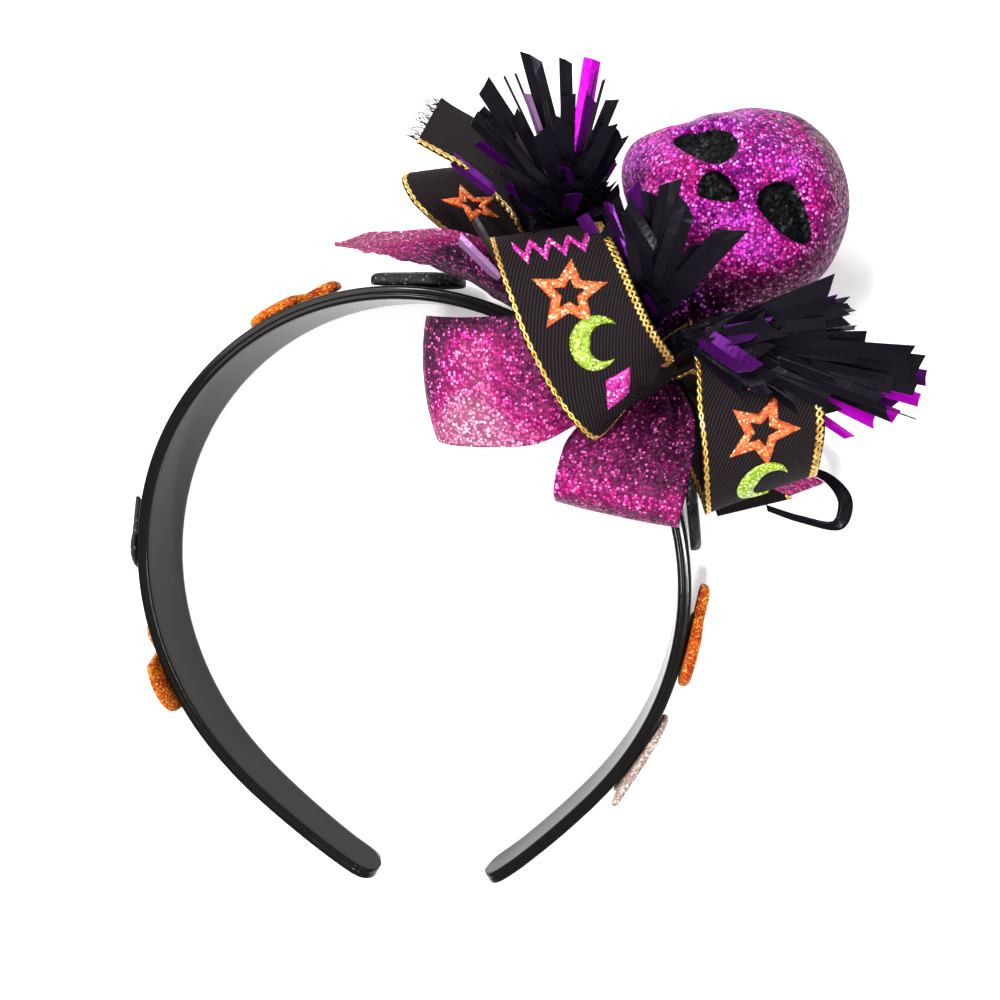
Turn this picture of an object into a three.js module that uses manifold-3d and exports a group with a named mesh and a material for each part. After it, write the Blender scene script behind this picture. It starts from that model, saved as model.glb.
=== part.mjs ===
// A costume headband, lying on its side: a tapered plastic arch with puffy stickers on its outer face,
// and a bow of glitter ribbon, printed ribbon and foil tinsel tied on beside a small glitter skull.
// Millimetres. The arch lies in the XY plane with its apex towards +Y and rests on its lower edge, z = 0.
// The origin is the middle of the head opening, at the arch's widest line.

import * as THREE from 'three';
import { mergeVertices } from 'three/addons/utils/BufferGeometryUtils.js';
import Module from 'manifold-3d';

const wasm = await Module();
wasm.setup();

// The arch
const archRadius = 66.1;
const bandThickness = 3;
const bandWidth = 23;
const tipWidth = 10;
const bandEdge = 0.6;
const edgeShare = 0.6;
const stationStep = 4;
const tipAngles = [6, 20, 40, 65];

// The stickers
const stickerThickness = 2.6;
const puffEdge = 0.7;
const pumpkinWide = 19;
const pumpkinTall = 16.5;
const stemLong = 6;
const stemWide = 3.4;
const catWide = 18;
const catTall = 16;
const earTall = 4;
const ghostTall = 23;
const ghostWide = 16;
const puffSegments = 5;
const backSamples = 6;

// The bow
const clearance = 0.3;
const bowAt = 62.8;
const knotAlong = 9;
const knotOut = 12.5;
const knotFoot = 4;
const knotRise = 16;
const bowReach = 50;
const glitterWidth = 25;
const printWidth = 22;
const ribbonThickness = 1;
const stripWidth = 3.2;
const stripThickness = 0.7;
const curlThickness = 0.9;
const stemRadius = 1.6;
const stemSides = 8;
const stripRoll = 25;
const pinch = 0.38;
const ringsPerSpan = 3;
const spreadTension = 0.3;
const degreesPerWidth = 100;

// The skull
const craniumRadius = 20;
const skullLift = 0.4;
const socketDepth = 3;
const skullSegments = 20;
const skullRings = 12;

// The outer face runs from the apex to each tip as arcs: radius in arch radii, turn in degrees.
const archArcs = [
  { radius: 1, turn: 67.3 },
  { radius: 1.075, turn: 33.7 },
  { radius: 1.15, turn: 24.7 },
  { radius: 1.47, turn: 9.4 },
  { radius: 3.5, turn: 5.6 },
  { radius: 1.25, turn: 8.6 },
];

const radians = THREE.MathUtils.degToRad;
const vector = (x, y, z) => new THREE.Vector3(x, y, z);

// Point, tangent and outward normal of the outer face at a distance from the apex along one half.
function halfArch(distance) {
  let x = 0;
  let y = 0;
  let angle = 0;
  let left = distance;
  for (const [index, arc] of archArcs.entries()) {
    const radius = arc.radius * archRadius;
    const whole = radians(arc.turn);
    const last = index === archArcs.length - 1;
    const turn = last ? left / radius : Math.min(left / radius, whole);
    x += radius * (Math.sin(angle + turn) - Math.sin(angle));
    y -= radius * (Math.cos(angle) - Math.cos(angle + turn));
    angle += turn;
    left -= turn * radius;
    if (left <= 0) break;
  }
  return { x, y, angle };
}

const halfLength = archArcs.reduce((sum, arc) => sum + arc.radius * archRadius * radians(arc.turn), 0);

// Height of the apex over the widest line, where the arch has turned a right angle.
function apexHeight() {
  let fall = 0;
  let angle = 0;
  for (const arc of archArcs) {
    const end = Math.min(angle + radians(arc.turn), Math.PI / 2);
    fall += arc.radius * archRadius * (Math.cos(angle) - Math.cos(end));
    angle = end;
  }
  return fall;
}

const apexY = apexHeight();
const tipY = apexY + halfArch(halfLength).y;

// The taper is even on both edges, so the band lying on its lower edge leans by half of the taper.
const lean = Math.atan2((bandWidth - tipWidth) / 2, apexY - tipY);
const across = vector(0, -Math.sin(lean), Math.cos(lean));

// The band's frame at a distance from the apex, minus on the left half.
function bandAt(distance) {
  const side = distance < 0 ? -1 : 1;
  const half = halfArch(Math.abs(distance));
  const point = vector(side * half.x, apexY + half.y, 0);
  const tangent = vector(Math.cos(half.angle), -side * Math.sin(half.angle), 0);
  const normal = vector(side * Math.sin(half.angle), Math.cos(half.angle), 0);
  const width = tipWidth + (bandWidth - tipWidth) * (point.y - tipY) / (apexY - tipY);
  return { point, tangent, normal, width };
}

// A closed solid through rings of as many points each, with flat ends.
function loft(rings) {
  const count = rings[0].length;
  const positions = rings.flat().flatMap((point) => [point.x, point.y, point.z]);
  const faces = [];
  for (let row = 0; row < rings.length - 1; row += 1) {
    for (let column = 0; column < count; column += 1) {
      const next = (column + 1) % count;
      const a = row * count + column;
      const b = row * count + next;
      const c = (row + 1) * count + next;
      const d = (row + 1) * count + column;
      faces.push(a, b, c, a, c, d);
    }
  }
  const top = (rings.length - 1) * count;
  for (let column = 1; column < count - 1; column += 1) {
    faces.push(0, column + 1, column);
    faces.push(top, top + column, top + column + 1);
  }
  const geometry = new THREE.BufferGeometry();
  geometry.setAttribute('position', new THREE.Float32BufferAttribute(positions, 3));
  geometry.setIndex(faces);
  return geometry;
}

// Booleans
function solid(geometry) {
  const bare = geometry.clone();
  bare.deleteAttribute('normal');
  bare.deleteAttribute('uv');
  const merged = mergeVertices(bare, 1e-4);
  return new wasm.Manifold(new wasm.Mesh({
    numProp: 3,
    vertProperties: new Float32Array(merged.attributes.position.array),
    triVerts: new Uint32Array(merged.index.array),
  }));
}

function geometryOf(manifold) {
  const mesh = manifold.getMesh();
  const geometry = new THREE.BufferGeometry();
  geometry.setAttribute('position', new THREE.BufferAttribute(Float32Array.from(mesh.vertProperties), 3));
  geometry.setIndex(Array.from(mesh.triVerts));
  geometry.computeVertexNormals();
  return geometry;
}

// The band is lofted through a bevelled section, and its width closes on a half circle at each tip.
function bandRing(distance) {
  const { point, normal, width } = bandAt(distance);
  const toTip = halfLength - Math.abs(distance);
  const round = tipWidth / 2;
  const inward = round - toTip;
  const half = inward > 0 ? Math.sqrt(round ** 2 - inward ** 2) : width / 2;
  const edge = Math.min(bandEdge, half * edgeShare);
  const corners = [
    { deep: edge, high: -half },
    { deep: 0, high: -half + edge },
    { deep: 0, high: half - edge },
    { deep: edge, high: half },
    { deep: bandThickness - edge, high: half },
    { deep: bandThickness, high: half - edge },
    { deep: bandThickness, high: -half + edge },
    { deep: bandThickness - edge, high: -half },
  ];
  return corners.map(({ deep, high }) => point.clone()
    .addScaledVector(normal, -deep)
    .addScaledVector(across, width / 2 + high));
}

function bandGeometry() {
  const nearTip = tipAngles.map((angle) => (tipWidth / 2) * (1 - Math.cos(radians(angle))));
  const inner = halfLength - tipWidth / 2;
  const steps = Math.ceil((2 * inner) / stationStep);
  const middle = Array.from({ length: steps + 1 }, (_, step) => -inner + (2 * inner * step) / steps);
  const left = nearTip.map((inset) => inset - halfLength);
  const right = nearTip.map((inset) => halfLength - inset).reverse();
  return loft([...left, ...middle, ...right].map(bandRing));
}

// Sticker outlines: first coordinate along the band towards the apex, second across it.
function pumpkinOutline() {
  const shape = new THREE.Shape();
  const halfTall = pumpkinTall / 2;
  const halfWide = pumpkinWide / 2;
  shape.moveTo(halfTall * 0.93, stemWide / 2);
  shape.absellipse(0, halfWide * 0.45, halfTall, halfWide * 0.55, radians(50), radians(140));
  shape.absellipse(0, halfWide * 0.45, halfTall, halfWide * 0.55, radians(140), radians(180));
  shape.absellipse(0, -halfWide * 0.45, halfTall, halfWide * 0.55, radians(180), radians(310));
  shape.lineTo(halfTall * 0.93, -stemWide / 2);
  shape.lineTo(halfTall + stemLong, -stemWide * 0.8);
  shape.lineTo(halfTall + stemLong, stemWide * 0.2);
  return shape;
}

function catOutline() {
  const shape = new THREE.Shape();
  const halfTall = catTall / 2;
  const halfWide = catWide / 2;
  shape.absellipse(0, 0, halfTall, halfWide, radians(68), radians(292));
  shape.lineTo(halfTall + earTall, -halfWide * 0.85);
  shape.lineTo(halfTall * 0.95, -halfWide * 0.3);
  shape.lineTo(halfTall * 0.95, halfWide * 0.3);
  shape.lineTo(halfTall + earTall, halfWide * 0.85);
  return shape;
}

function ghostOutline() {
  const shape = new THREE.Shape();
  const halfTall = ghostTall / 2;
  const halfWide = ghostWide / 2;
  shape.moveTo(-halfTall, -halfWide);
  shape.quadraticCurveTo(halfTall * 0.2, -halfWide * 0.9, halfTall * 0.4, -halfWide * 0.7);
  shape.quadraticCurveTo(halfTall * 1.5, 0, halfTall * 0.4, halfWide * 0.7);
  shape.quadraticCurveTo(halfTall * 0.2, halfWide * 0.9, -halfTall, halfWide);
  shape.lineTo(-halfTall * 0.75, halfWide / 3);
  shape.lineTo(-halfTall, 0);
  shape.lineTo(-halfTall * 0.75, -halfWide / 3);
  return shape;
}

// Each sticker is glued flat at one spot, and its ends lift off the curve. Places are shares of the half
// arch from the apex, minus on the left. A tilt in degrees lifts the end nearer the apex.
const stickers = [
  { name: 'sticker_pumpkin_upper', outline: pumpkinOutline, at: -0.122, tilt: 1, thick: 1, color: 0xd85a12 },
  { name: 'sticker_black_top', outline: catOutline, at: 0.05, tilt: 0, thick: 1, color: 0x121014 },
  { name: 'sticker_black_left', outline: catOutline, at: -0.466, tilt: 0, thick: 0.6, color: 0x121014 },
  { name: 'sticker_pumpkin_lower', outline: pumpkinOutline, at: -0.638, tilt: 0, thick: 0.7, color: 0xd85a12 },
  { name: 'sticker_black_right', outline: catOutline, at: 0.458, tilt: 7, thick: 1, color: 0x121014 },
  { name: 'sticker_pumpkin_right', outline: pumpkinOutline, at: 0.604, tilt: 2, thick: 1, color: 0xd85a12 },
  { name: 'sticker_ghost', outline: ghostOutline, at: 0.745, tilt: 0, thick: 0.7, color: 0xf2dcd6 },
];

// How far a tilted flat back must stand off at its middle to clear the curved face by the clearance.
function standOff(at, reach, slope) {
  const here = bandAt(at);
  let most = 0;
  for (let step = -backSamples; step <= backSamples; step += 1) {
    const there = bandAt(at + (reach * step) / backSamples).point.sub(here.point);
    const rise = there.dot(here.normal);
    const run = Math.abs(there.dot(here.tangent)) * Math.sign(step) * (at < 0 ? 1 : -1);
    most = Math.max(most, rise - run * slope);
  }
  return most + clearance;
}

function stickerMesh({ name, outline, at, tilt, thick, color }) {
  const geometry = new THREE.ExtrudeGeometry(outline(), {
    depth: thick * stickerThickness - 2 * puffEdge,
    curveSegments: puffSegments,
    bevelEnabled: true,
    bevelThickness: puffEdge,
    bevelSize: puffEdge,
    bevelOffset: -puffEdge,
    bevelSegments: 1,
  });
  geometry.translate(0, 0, puffEdge);
  geometry.computeBoundingBox();
  const reach = geometry.boundingBox.max.x;
  const halfWide = geometry.boundingBox.max.y;
  const distance = at * halfLength;
  const { point, tangent, normal, width } = bandAt(distance);
  const slope = Math.tan(radians(tilt));
  const toApex = tangent.clone().multiplyScalar(at < 0 ? 1 : -1);
  const along = toApex.clone().addScaledVector(normal, slope).normalize();
  const up = across.clone();
  const out = along.clone().cross(up);
  if (out.dot(normal) < 0) {
    up.negate();
    out.negate();
  }
  const place = point.clone()
    .addScaledVector(normal, standOff(distance, reach, slope))
    .addScaledVector(across, Math.max(width / 2, halfWide + clearance));
  geometry.applyMatrix4(new THREE.Matrix4().makeBasis(along, up, out).setPosition(place));
  return part(name, geometry, color, 0.55);
}

// The bow's frame: the knot stands on the outer face, and heights count from the band's near edge.
const bowFoot = bandAt(bowAt);
const knotMiddle = bowFoot.point.clone().addScaledVector(bowFoot.normal, clearance + knotOut / 2);
const nearEdge = bandWidth;
const knotTop = nearEdge + knotRise;

function knotGeometry(grow) {
  const halfAlong = knotAlong / 2 + grow;
  const halfOut = knotOut / 2 + grow;
  const shape = new THREE.Shape();
  shape.moveTo(-halfAlong, -halfOut);
  shape.lineTo(halfAlong, -halfOut);
  shape.lineTo(halfAlong, halfOut);
  shape.lineTo(-halfAlong, halfOut);
  const height = knotTop - knotFoot + 2 * grow;
  const geometry = new THREE.ExtrudeGeometry(shape, { depth: height, bevelEnabled: false });
  const turn = Math.atan2(bowFoot.tangent.y, bowFoot.tangent.x);
  geometry.rotateZ(turn);
  geometry.translate(knotMiddle.x, knotMiddle.y, knotFoot - grow);
  return geometry;
}

const knotSpace = solid(knotGeometry(clearance));
const bowPoint = (right, up, front) => vector(
  knotMiddle.x + right * bowReach,
  knotMiddle.y + up * bowReach,
  nearEdge + front * bowReach,
);
const knotPoint = (share) => vector(knotMiddle.x, knotMiddle.y, knotFoot + share * (knotTop - knotFoot));

// The skull: right, up and front in cranium radii from the cranium's centre.
const skullLobes = [
  { right: 0, up: 0, front: 0, wide: 0.98, tall: 1, deep: 1 },
  { right: -0.02, up: -0.2, front: 0.24, wide: 1.12, tall: 0.46, deep: 0.66 },
  { right: -0.04, up: -0.86, front: 0.06, wide: 0.72, tall: 0.66, deep: 0.62 },
  { right: -0.04, up: -1.24, front: 0.02, wide: 0.54, tall: 0.36, deep: 0.46 },
];
const sockets = [
  { right: -0.52, up: 0.1, front: 0.84, wide: 0.38, tall: 0.2, slant: 20 },
  { right: 0.56, up: 0.02, front: 0.8, wide: 0.38, tall: 0.2, slant: -20 },
  { right: 0, up: -0.2, front: 0.98, wide: 0.19, tall: 0.2, slant: 0 },
];

// The jaw meets the knot, and the cranium lies beyond it: the way to its centre and the way it faces.
const skullAway = radians(56.6);
const skullReach = 1.617;
const skullUp = radians(51.5);
const skullTurn = radians(18);

function ellipsoid({ right, up, front, wide, tall, deep, slant = 0 }, grow) {
  const geometry = new THREE.SphereGeometry(craniumRadius, skullSegments, skullRings);
  const more = grow / craniumRadius;
  geometry.scale(wide + more, tall + more, deep + more);
  geometry.rotateZ(radians(slant));
  geometry.translate(right * craniumRadius, up * craniumRadius, front * craniumRadius);
  return geometry;
}

// Turns a piece of the skull into place, lying on the back of its head.
function placed(geometry) {
  const away = knotOut / 2 + skullReach * craniumRadius;
  geometry.rotateY(-skullTurn);
  geometry.rotateZ(skullUp - Math.PI / 2);
  geometry.translate(
    knotMiddle.x + away * Math.cos(skullAway),
    knotMiddle.y + away * Math.sin(skullAway),
    skullLift + craniumRadius,
  );
  return solid(geometry);
}

function skullBody(grow) {
  return skullLobes.map((lobe) => placed(ellipsoid(lobe, grow))).reduce((sum, lobe) => sum.add(lobe));
}

const skullSpace = skullBody(clearance);

// Ribbons. A row is a place on the ribbon's middle line in bow reaches from the knot (right, up, front),
// the direction of the ribbon's width (heading about Z and slope, degrees) and its share of the width.
function ribbonRings(rows, width, thickness, perSpan) {
  const middle = new THREE.CatmullRomCurve3(rows.map((row) => row.point), false, 'centripetal');
  const spread = new THREE.CatmullRomCurve3(
    rows.map((row) => vector(row.heading, row.slope ?? 0, (row.wide ?? 1) * degreesPerWidth)),
    false,
    'catmullrom',
    spreadTension,
  );
  const count = (rows.length - 1) * perSpan;
  return Array.from({ length: count + 1 }, (_, step) => {
    const at = step / count;
    const point = middle.getPoint(at);
    const tangent = middle.getTangent(at);
    const shape = spread.getPoint(at);
    const heading = radians(shape.x);
    const slope = radians(shape.y);
    const side = vector(
      Math.cos(heading) * Math.cos(slope),
      Math.sin(heading) * Math.cos(slope),
      Math.sin(slope),
    );
    const normal = side.clone().cross(tangent).normalize().multiplyScalar(thickness / 2);
    side.multiplyScalar((shape.z / degreesPerWidth) * (width / 2));
    return [
      point.clone().sub(side).sub(normal),
      point.clone().add(side).sub(normal),
      point.clone().add(side).add(normal),
      point.clone().sub(side).add(normal),
    ];
  });
}

function outward(geometry) {
  const body = solid(geometry);
  if (body.volume() > 0) return body;
  const index = geometry.index.array;
  for (let face = 0; face < index.length; face += 3) {
    [index[face + 1], index[face + 2]] = [index[face + 2], index[face + 1]];
  }
  return solid(geometry);
}

function ribbonMesh({ name, width, from, to, rows, color }) {
  const places = rows.map((row) => ({ ...row, point: bowPoint(row.right, row.up, row.front) }));
  const first = places[0];
  const last = places[places.length - 1];
  places.unshift({ ...first, point: knotPoint(from), wide: pinch });
  if (to !== undefined) places.push({ ...last, point: knotPoint(to), wide: pinch });
  const body = outward(loft(ribbonRings(places, width, ribbonThickness, ringsPerSpan)));
  return part(name, geometryOf(body.subtract(knotSpace).subtract(skullSpace)), color, 0.6);
}

const glitterPink = 0xb3178f;
const printBlack = 0x17141a;

const ribbons = [
  {
    name: 'glitter_loop_left', width: glitterWidth, from: 0.84, to: 0.62, color: glitterPink,
    rows: [
      { right: -0.20, up: 0.00, front: 0.40, heading: 90, wide: 0.62 },
      { right: -0.44, up: -0.01, front: 0.50, heading: 90, wide: 0.98 },
      { right: -0.70, up: 0.00, front: 0.48, heading: 90 },
      { right: -0.85, up: 0.02, front: 0.41, heading: 91 },
      { right: -0.89, up: 0.03, front: 0.30, heading: 92 },
      { right: -0.84, up: 0.02, front: 0.19, heading: 91 },
      { right: -0.68, up: 0.01, front: 0.12, heading: 90 },
      { right: -0.44, up: -0.01, front: 0.10, heading: 90, wide: 0.9 },
      { right: -0.20, up: -0.02, front: 0.08, heading: 90, wide: 0.5 },
    ],
  },
  {
    name: 'glitter_loop_low', width: glitterWidth, from: 0.74, to: 0.56, color: glitterPink,
    rows: [
      { right: -0.01, up: -0.16, front: 0.27, heading: -14, wide: 0.76 },
      { right: -0.09, up: -0.33, front: 0.37, heading: -14 },
      { right: -0.13, up: -0.47, front: 0.41, heading: -14 },
      { right: -0.14, up: -0.54, front: 0.35, heading: -14 },
      { right: -0.14, up: -0.56, front: 0.26, heading: -14 },
      { right: -0.13, up: -0.52, front: 0.15, heading: -14 },
      { right: -0.09, up: -0.41, front: 0.07, heading: -14, wide: 0.95 },
      { right: -0.04, up: -0.23, front: 0.05, heading: -14, wide: 0.55 },
    ],
  },
  {
    name: 'print_loop_front', width: printWidth, from: 0.82, to: 0.985, color: printBlack,
    rows: [
      { right: -0.20, up: 0.27, front: 0.21, heading: 38, wide: 0.6 },
      { right: -0.31, up: 0.45, front: 0.22, heading: 20, wide: 0.95 },
      { right: -0.36, up: 0.55, front: 0.29, heading: 5 },
      { right: -0.36, up: 0.56, front: 0.39, heading: 3 },
      { right: -0.33, up: 0.50, front: 0.51, heading: 3 },
      { right: -0.28, up: 0.37, front: 0.59, heading: 10 },
      { right: -0.21, up: 0.18, front: 0.62, heading: 24 },
      { right: -0.14, up: 0.03, front: 0.61, heading: 35 },
      { right: -0.08, up: -0.06, front: 0.57, heading: 43 },
      { right: -0.05, up: -0.09, front: 0.51, heading: 43, wide: 0.95 },
      { right: -0.03, up: -0.06, front: 0.45, heading: 43, wide: 0.6 },
    ],
  },
  {
    name: 'print_loop_right', width: printWidth, from: 0.72, to: 0.66, color: printBlack,
    rows: [
      { right: 0.21, up: 0.10, front: 0.25, heading: -45, wide: 0.45 },
      { right: 0.33, up: 0.11, front: 0.38, heading: -12, wide: 0.75 },
      { right: 0.39, up: 0.03, front: 0.51, heading: 5, wide: 0.95 },
      { right: 0.40, up: -0.11, front: 0.57, heading: 9 },
      { right: 0.41, up: -0.26, front: 0.58, heading: 13 },
      { right: 0.41, up: -0.39, front: 0.52, heading: 17 },
      { right: 0.41, up: -0.47, front: 0.42, heading: 19 },
      { right: 0.41, up: -0.48, front: 0.31, heading: 19 },
      { right: 0.39, up: -0.42, front: 0.21, heading: 20 },
      { right: 0.32, up: -0.29, front: 0.15, heading: 25, wide: 0.9 },
      { right: 0.21, up: -0.13, front: 0.13, heading: 40, wide: 0.5 },
    ],
  },
  {
    name: 'print_loop_upper', width: printWidth, from: 0.32, to: 0.11, color: printBlack,
    rows: [
      { right: -0.26, up: 0.27, front: -0.16, heading: 42, slope: -5, wide: 0.42 },
      { right: -0.44, up: 0.49, front: -0.11, heading: 34, slope: -15, wide: 0.6 },
      { right: -0.63, up: 0.68, front: 0.00, heading: 20, slope: -26, wide: 0.9 },
      { right: -0.75, up: 0.80, front: 0.06, heading: 12, slope: -30 },
      { right: -0.80, up: 0.90, front: 0.02, heading: 10, slope: -30 },
      { right: -0.79, up: 0.94, front: -0.08, heading: 10, slope: -30 },
      { right: -0.72, up: 0.86, front: -0.19, heading: 12, slope: -28 },
      { right: -0.56, up: 0.67, front: -0.26, heading: 24, slope: -15, wide: 0.85 },
      { right: -0.32, up: 0.36, front: -0.31, heading: 42, slope: -5, wide: 0.45 },
    ],
  },
  {
    name: 'glitter_tail_left', width: glitterWidth, from: 0.55, color: glitterPink,
    rows: [
      { right: -0.28, up: 0.20, front: 0.01, heading: 65, slope: 0, wide: 0.3 },
      { right: -0.52, up: 0.36, front: 0.07, heading: 68, slope: 20, wide: 0.4 },
      { right: -0.76, up: 0.47, front: 0.20, heading: 75, slope: 50, wide: 0.7 },
      { right: -1.04, up: 0.54, front: 0.26, heading: 80, slope: 55, wide: 0.5 },
      { right: -1.26, up: 0.59, front: 0.26, heading: 80, slope: 55, wide: 0.1 },
    ],
  },
  {
    name: 'glitter_tail_right', width: glitterWidth, from: 0.37, color: glitterPink,
    rows: [
      { right: 0.20, up: -0.15, front: -0.10, heading: 45, slope: 10, wide: 0.32 },
      { right: 0.40, up: -0.33, front: -0.04, heading: 40, slope: 45, wide: 0.38 },
      { right: 0.62, up: -0.47, front: 0.00, heading: 30, slope: 60, wide: 0.4 },
    ],
  },
  {
    name: 'print_tail_upper', width: printWidth, from: 0.45, color: printBlack,
    rows: [
      { right: -0.26, up: 0.31, front: -0.07, heading: 42, wide: 0.36 },
      { right: -0.44, up: 0.54, front: 0.00, heading: 50, slope: -20, wide: 0.42 },
      { right: -0.60, up: 0.77, front: 0.17, heading: 66, slope: -42, wide: 0.62 },
      { right: -0.70, up: 0.91, front: 0.28, heading: 78, slope: -50, wide: 0.74 },
      { right: -0.81, up: 1.05, front: 0.32, heading: 80, slope: -50, wide: 0.78 },
    ],
  },
  {
    name: 'print_tail_low', width: printWidth, from: 0.23, color: printBlack,
    rows: [
      { right: 0.19, up: -0.23, front: -0.21, heading: 30, wide: 0.4 },
      { right: 0.36, up: -0.43, front: -0.19, heading: 20, wide: 0.65 },
      { right: 0.43, up: -0.60, front: -0.18, heading: 12, wide: 0.74 },
    ],
  },
];

// A narrow foil strip curls out from over the low printed tail and back onto it.
const curlRows = [
  { right: 0.46, up: -0.50, front: -0.148, heading: 100 },
  { right: 0.60, up: -0.44, front: -0.135, heading: 115 },
  { right: 0.72, up: -0.47, front: -0.10, heading: 70 },
  { right: 0.79, up: -0.57, front: -0.06, heading: 20 },
  { right: 0.76, up: -0.67, front: -0.06, heading: -40 },
  { right: 0.62, up: -0.65, front: -0.11, heading: -80 },
  { right: 0.48, up: -0.60, front: -0.148, heading: -80 },
];

function curlMesh() {
  const rows = curlRows.map((row) => ({ ...row, point: bowPoint(row.right, row.up, row.front) }));
  const body = outward(loft(ribbonRings(rows, stripWidth, curlThickness, ringsPerSpan)));
  return part('curl_strip', geometryOf(body), 0x0c0b0e, 0.35);
}

// Tinsel: a stem of twisted foil leaves the knot, and strips fan out from its end.
const tufts = [
  {
    name: 'tinsel_upper', from: 0.74, stem: [
      { right: -0.22, up: 0.31, front: 0.10 },
      { right: -0.28, up: 0.48, front: 0.10 },
      { right: -0.28, up: 0.66, front: 0.26 },
    ],
    aim: 97, fan: 76, rise: 11, sway: 9, count: 15, length: 0.62, evenness: 0.75,
  },
  {
    name: 'tinsel_right', from: 0.8, stem: [
      { right: 0.13, up: 0.135, front: 0.40 },
      { right: 0.22, up: 0.16, front: 0.66 },
    ],
    aim: -15, fan: 46, rise: -1, sway: 2, count: 13, length: 0.82, evenness: 0.5,
  },
  {
    name: 'tinsel_front', from: 0.92, stem: [
      { right: -0.02, up: 0.15, front: 0.36 },
      { right: 0.02, up: 0.21, front: 0.42 },
    ],
    aim: 72, fan: 50, rise: 3, sway: 4, count: 9, length: 0.44, evenness: 0.8,
  },
];

// A strip bows up a little along its length and rolls more towards its tip.
const stripRows = [
  { share: 0, lift: 0, rolled: 1, wide: 0.8 },
  { share: 0.35, lift: 0.02, rolled: 1, wide: 1 },
  { share: 0.7, lift: 0.02, rolled: 1.4, wide: 1 },
  { share: 1, lift: 0, rolled: 1.8, wide: 1 },
];

function stripBody(root, azimuth, elevation, length, roll) {
  const aim = vector(
    Math.cos(azimuth) * Math.cos(elevation),
    Math.sin(azimuth) * Math.cos(elevation),
    Math.sin(elevation),
  );
  const rows = stripRows.map(({ share, lift, rolled, wide }) => ({
    point: root.clone().addScaledVector(aim, length * share).add(vector(0, 0, lift * length)),
    heading: THREE.MathUtils.radToDeg(azimuth) + 90,
    slope: roll * rolled,
    wide,
  }));
  return outward(loft(ribbonRings(rows, stripWidth, stripThickness, 1)));
}

function tuftMesh({ name, from, stem, aim, fan, rise, sway, count, length, evenness }) {
  const places = stem.map((row) => bowPoint(row.right, row.up, row.front));
  const path = new THREE.CatmullRomCurve3([knotPoint(from), ...places], false, 'centripetal');
  const section = new THREE.Shape();
  section.absarc(0, 0, stemRadius, 0, 2 * Math.PI);
  const stemSteps = { curveSegments: stemSides, steps: stemSides, extrudePath: path };
  let body = solid(new THREE.ExtrudeGeometry(section, stemSteps));
  const root = places[places.length - 1];
  for (let index = 0; index < count; index += 1) {
    const share = index / (count - 1) - 0.5;
    const azimuth = radians(aim + share * fan);
    const elevation = radians(rise + sway * Math.sin(index * 2.4));
    const ragged = 0.88 + 0.12 * Math.cos(index * 1.7);
    const reach = bowReach * length * ragged * (evenness + (1 - evenness) * Math.cos(Math.PI * share));
    body = body.add(stripBody(root, azimuth, elevation, reach, stripRoll * Math.sin(index * 1.3)));
  }
  return part(name, geometryOf(body.subtract(knotSpace).subtract(skullSpace)), 0x120f16, 0.3);
}

function skullMesh() {
  let body = skullBody(0);
  const deep = socketDepth / craniumRadius;
  for (const socket of sockets) body = body.subtract(placed(ellipsoid({ ...socket, deep }, 0)));
  return part('skull', geometryOf(body.subtract(knotSpace)), 0xa3239a, 0.5);
}

function part(name, geometry, color, roughness) {
  const material = new THREE.MeshStandardMaterial({ color, roughness, metalness: 0 });
  const mesh = new THREE.Mesh(geometry, material);
  mesh.name = name;
  return mesh;
}

const headband = new THREE.Group();
headband.add(part('band', bandGeometry(), 0x0e0e10, 0.25));
headband.add(...stickers.map(stickerMesh));
headband.add(part('bow_knot', knotGeometry(0), 0x17141a, 0.8));
headband.add(...ribbons.map(ribbonMesh));
headband.add(curlMesh());
headband.add(...tufts.map(tuftMesh));
headband.add(skullMesh());

export default headband;
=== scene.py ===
"""Looks of a costume headband lying on its side: plastic arch, puffy stickers, ribbon bow, tinsel and skull.

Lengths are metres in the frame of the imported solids: +Y to the arch's apex, +X to the bow, +Z up.
"""

import bpy
import numpy as np
from bpy.props import FloatProperty, FloatVectorProperty, PointerProperty
from mathutils import Matrix, Vector


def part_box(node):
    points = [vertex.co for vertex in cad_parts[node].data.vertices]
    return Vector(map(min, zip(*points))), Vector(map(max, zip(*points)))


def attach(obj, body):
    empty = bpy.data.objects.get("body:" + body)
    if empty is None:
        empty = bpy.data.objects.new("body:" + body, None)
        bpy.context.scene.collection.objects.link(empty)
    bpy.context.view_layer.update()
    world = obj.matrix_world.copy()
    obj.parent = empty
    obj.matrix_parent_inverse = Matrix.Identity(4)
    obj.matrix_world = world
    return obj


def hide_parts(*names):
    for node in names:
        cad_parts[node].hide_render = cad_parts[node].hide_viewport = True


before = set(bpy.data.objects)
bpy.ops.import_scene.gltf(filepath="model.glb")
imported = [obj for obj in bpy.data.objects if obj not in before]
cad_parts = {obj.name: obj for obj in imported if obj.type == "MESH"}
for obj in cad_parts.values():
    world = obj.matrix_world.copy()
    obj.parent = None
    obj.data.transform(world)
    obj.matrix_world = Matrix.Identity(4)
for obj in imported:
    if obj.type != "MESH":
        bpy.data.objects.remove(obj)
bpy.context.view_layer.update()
BAND_LOW, BAND_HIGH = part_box("band")
KNOT_LOW, KNOT_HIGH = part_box("bow_knot")

bl_info = {
    "name": "Costume headband",
    "version": (1, 0, 0),
    "blender": (4, 5, 0),
    "location": "3D View > Sidebar > Headband",
    "description": "Builds a costume headband with a ribbon bow, foil tinsel and a glitter skull",
    "category": "Add Mesh",
}

MM = 0.001

# The outer face from the apex to each tip as arcs: radius in arch radii, turn in degrees.
ARCH_ARCS = ((1, 67.3), (1.075, 33.7), (1.15, 24.7), (1.47, 9.4), (3.5, 5.6), (1.25, 8.6))

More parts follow.
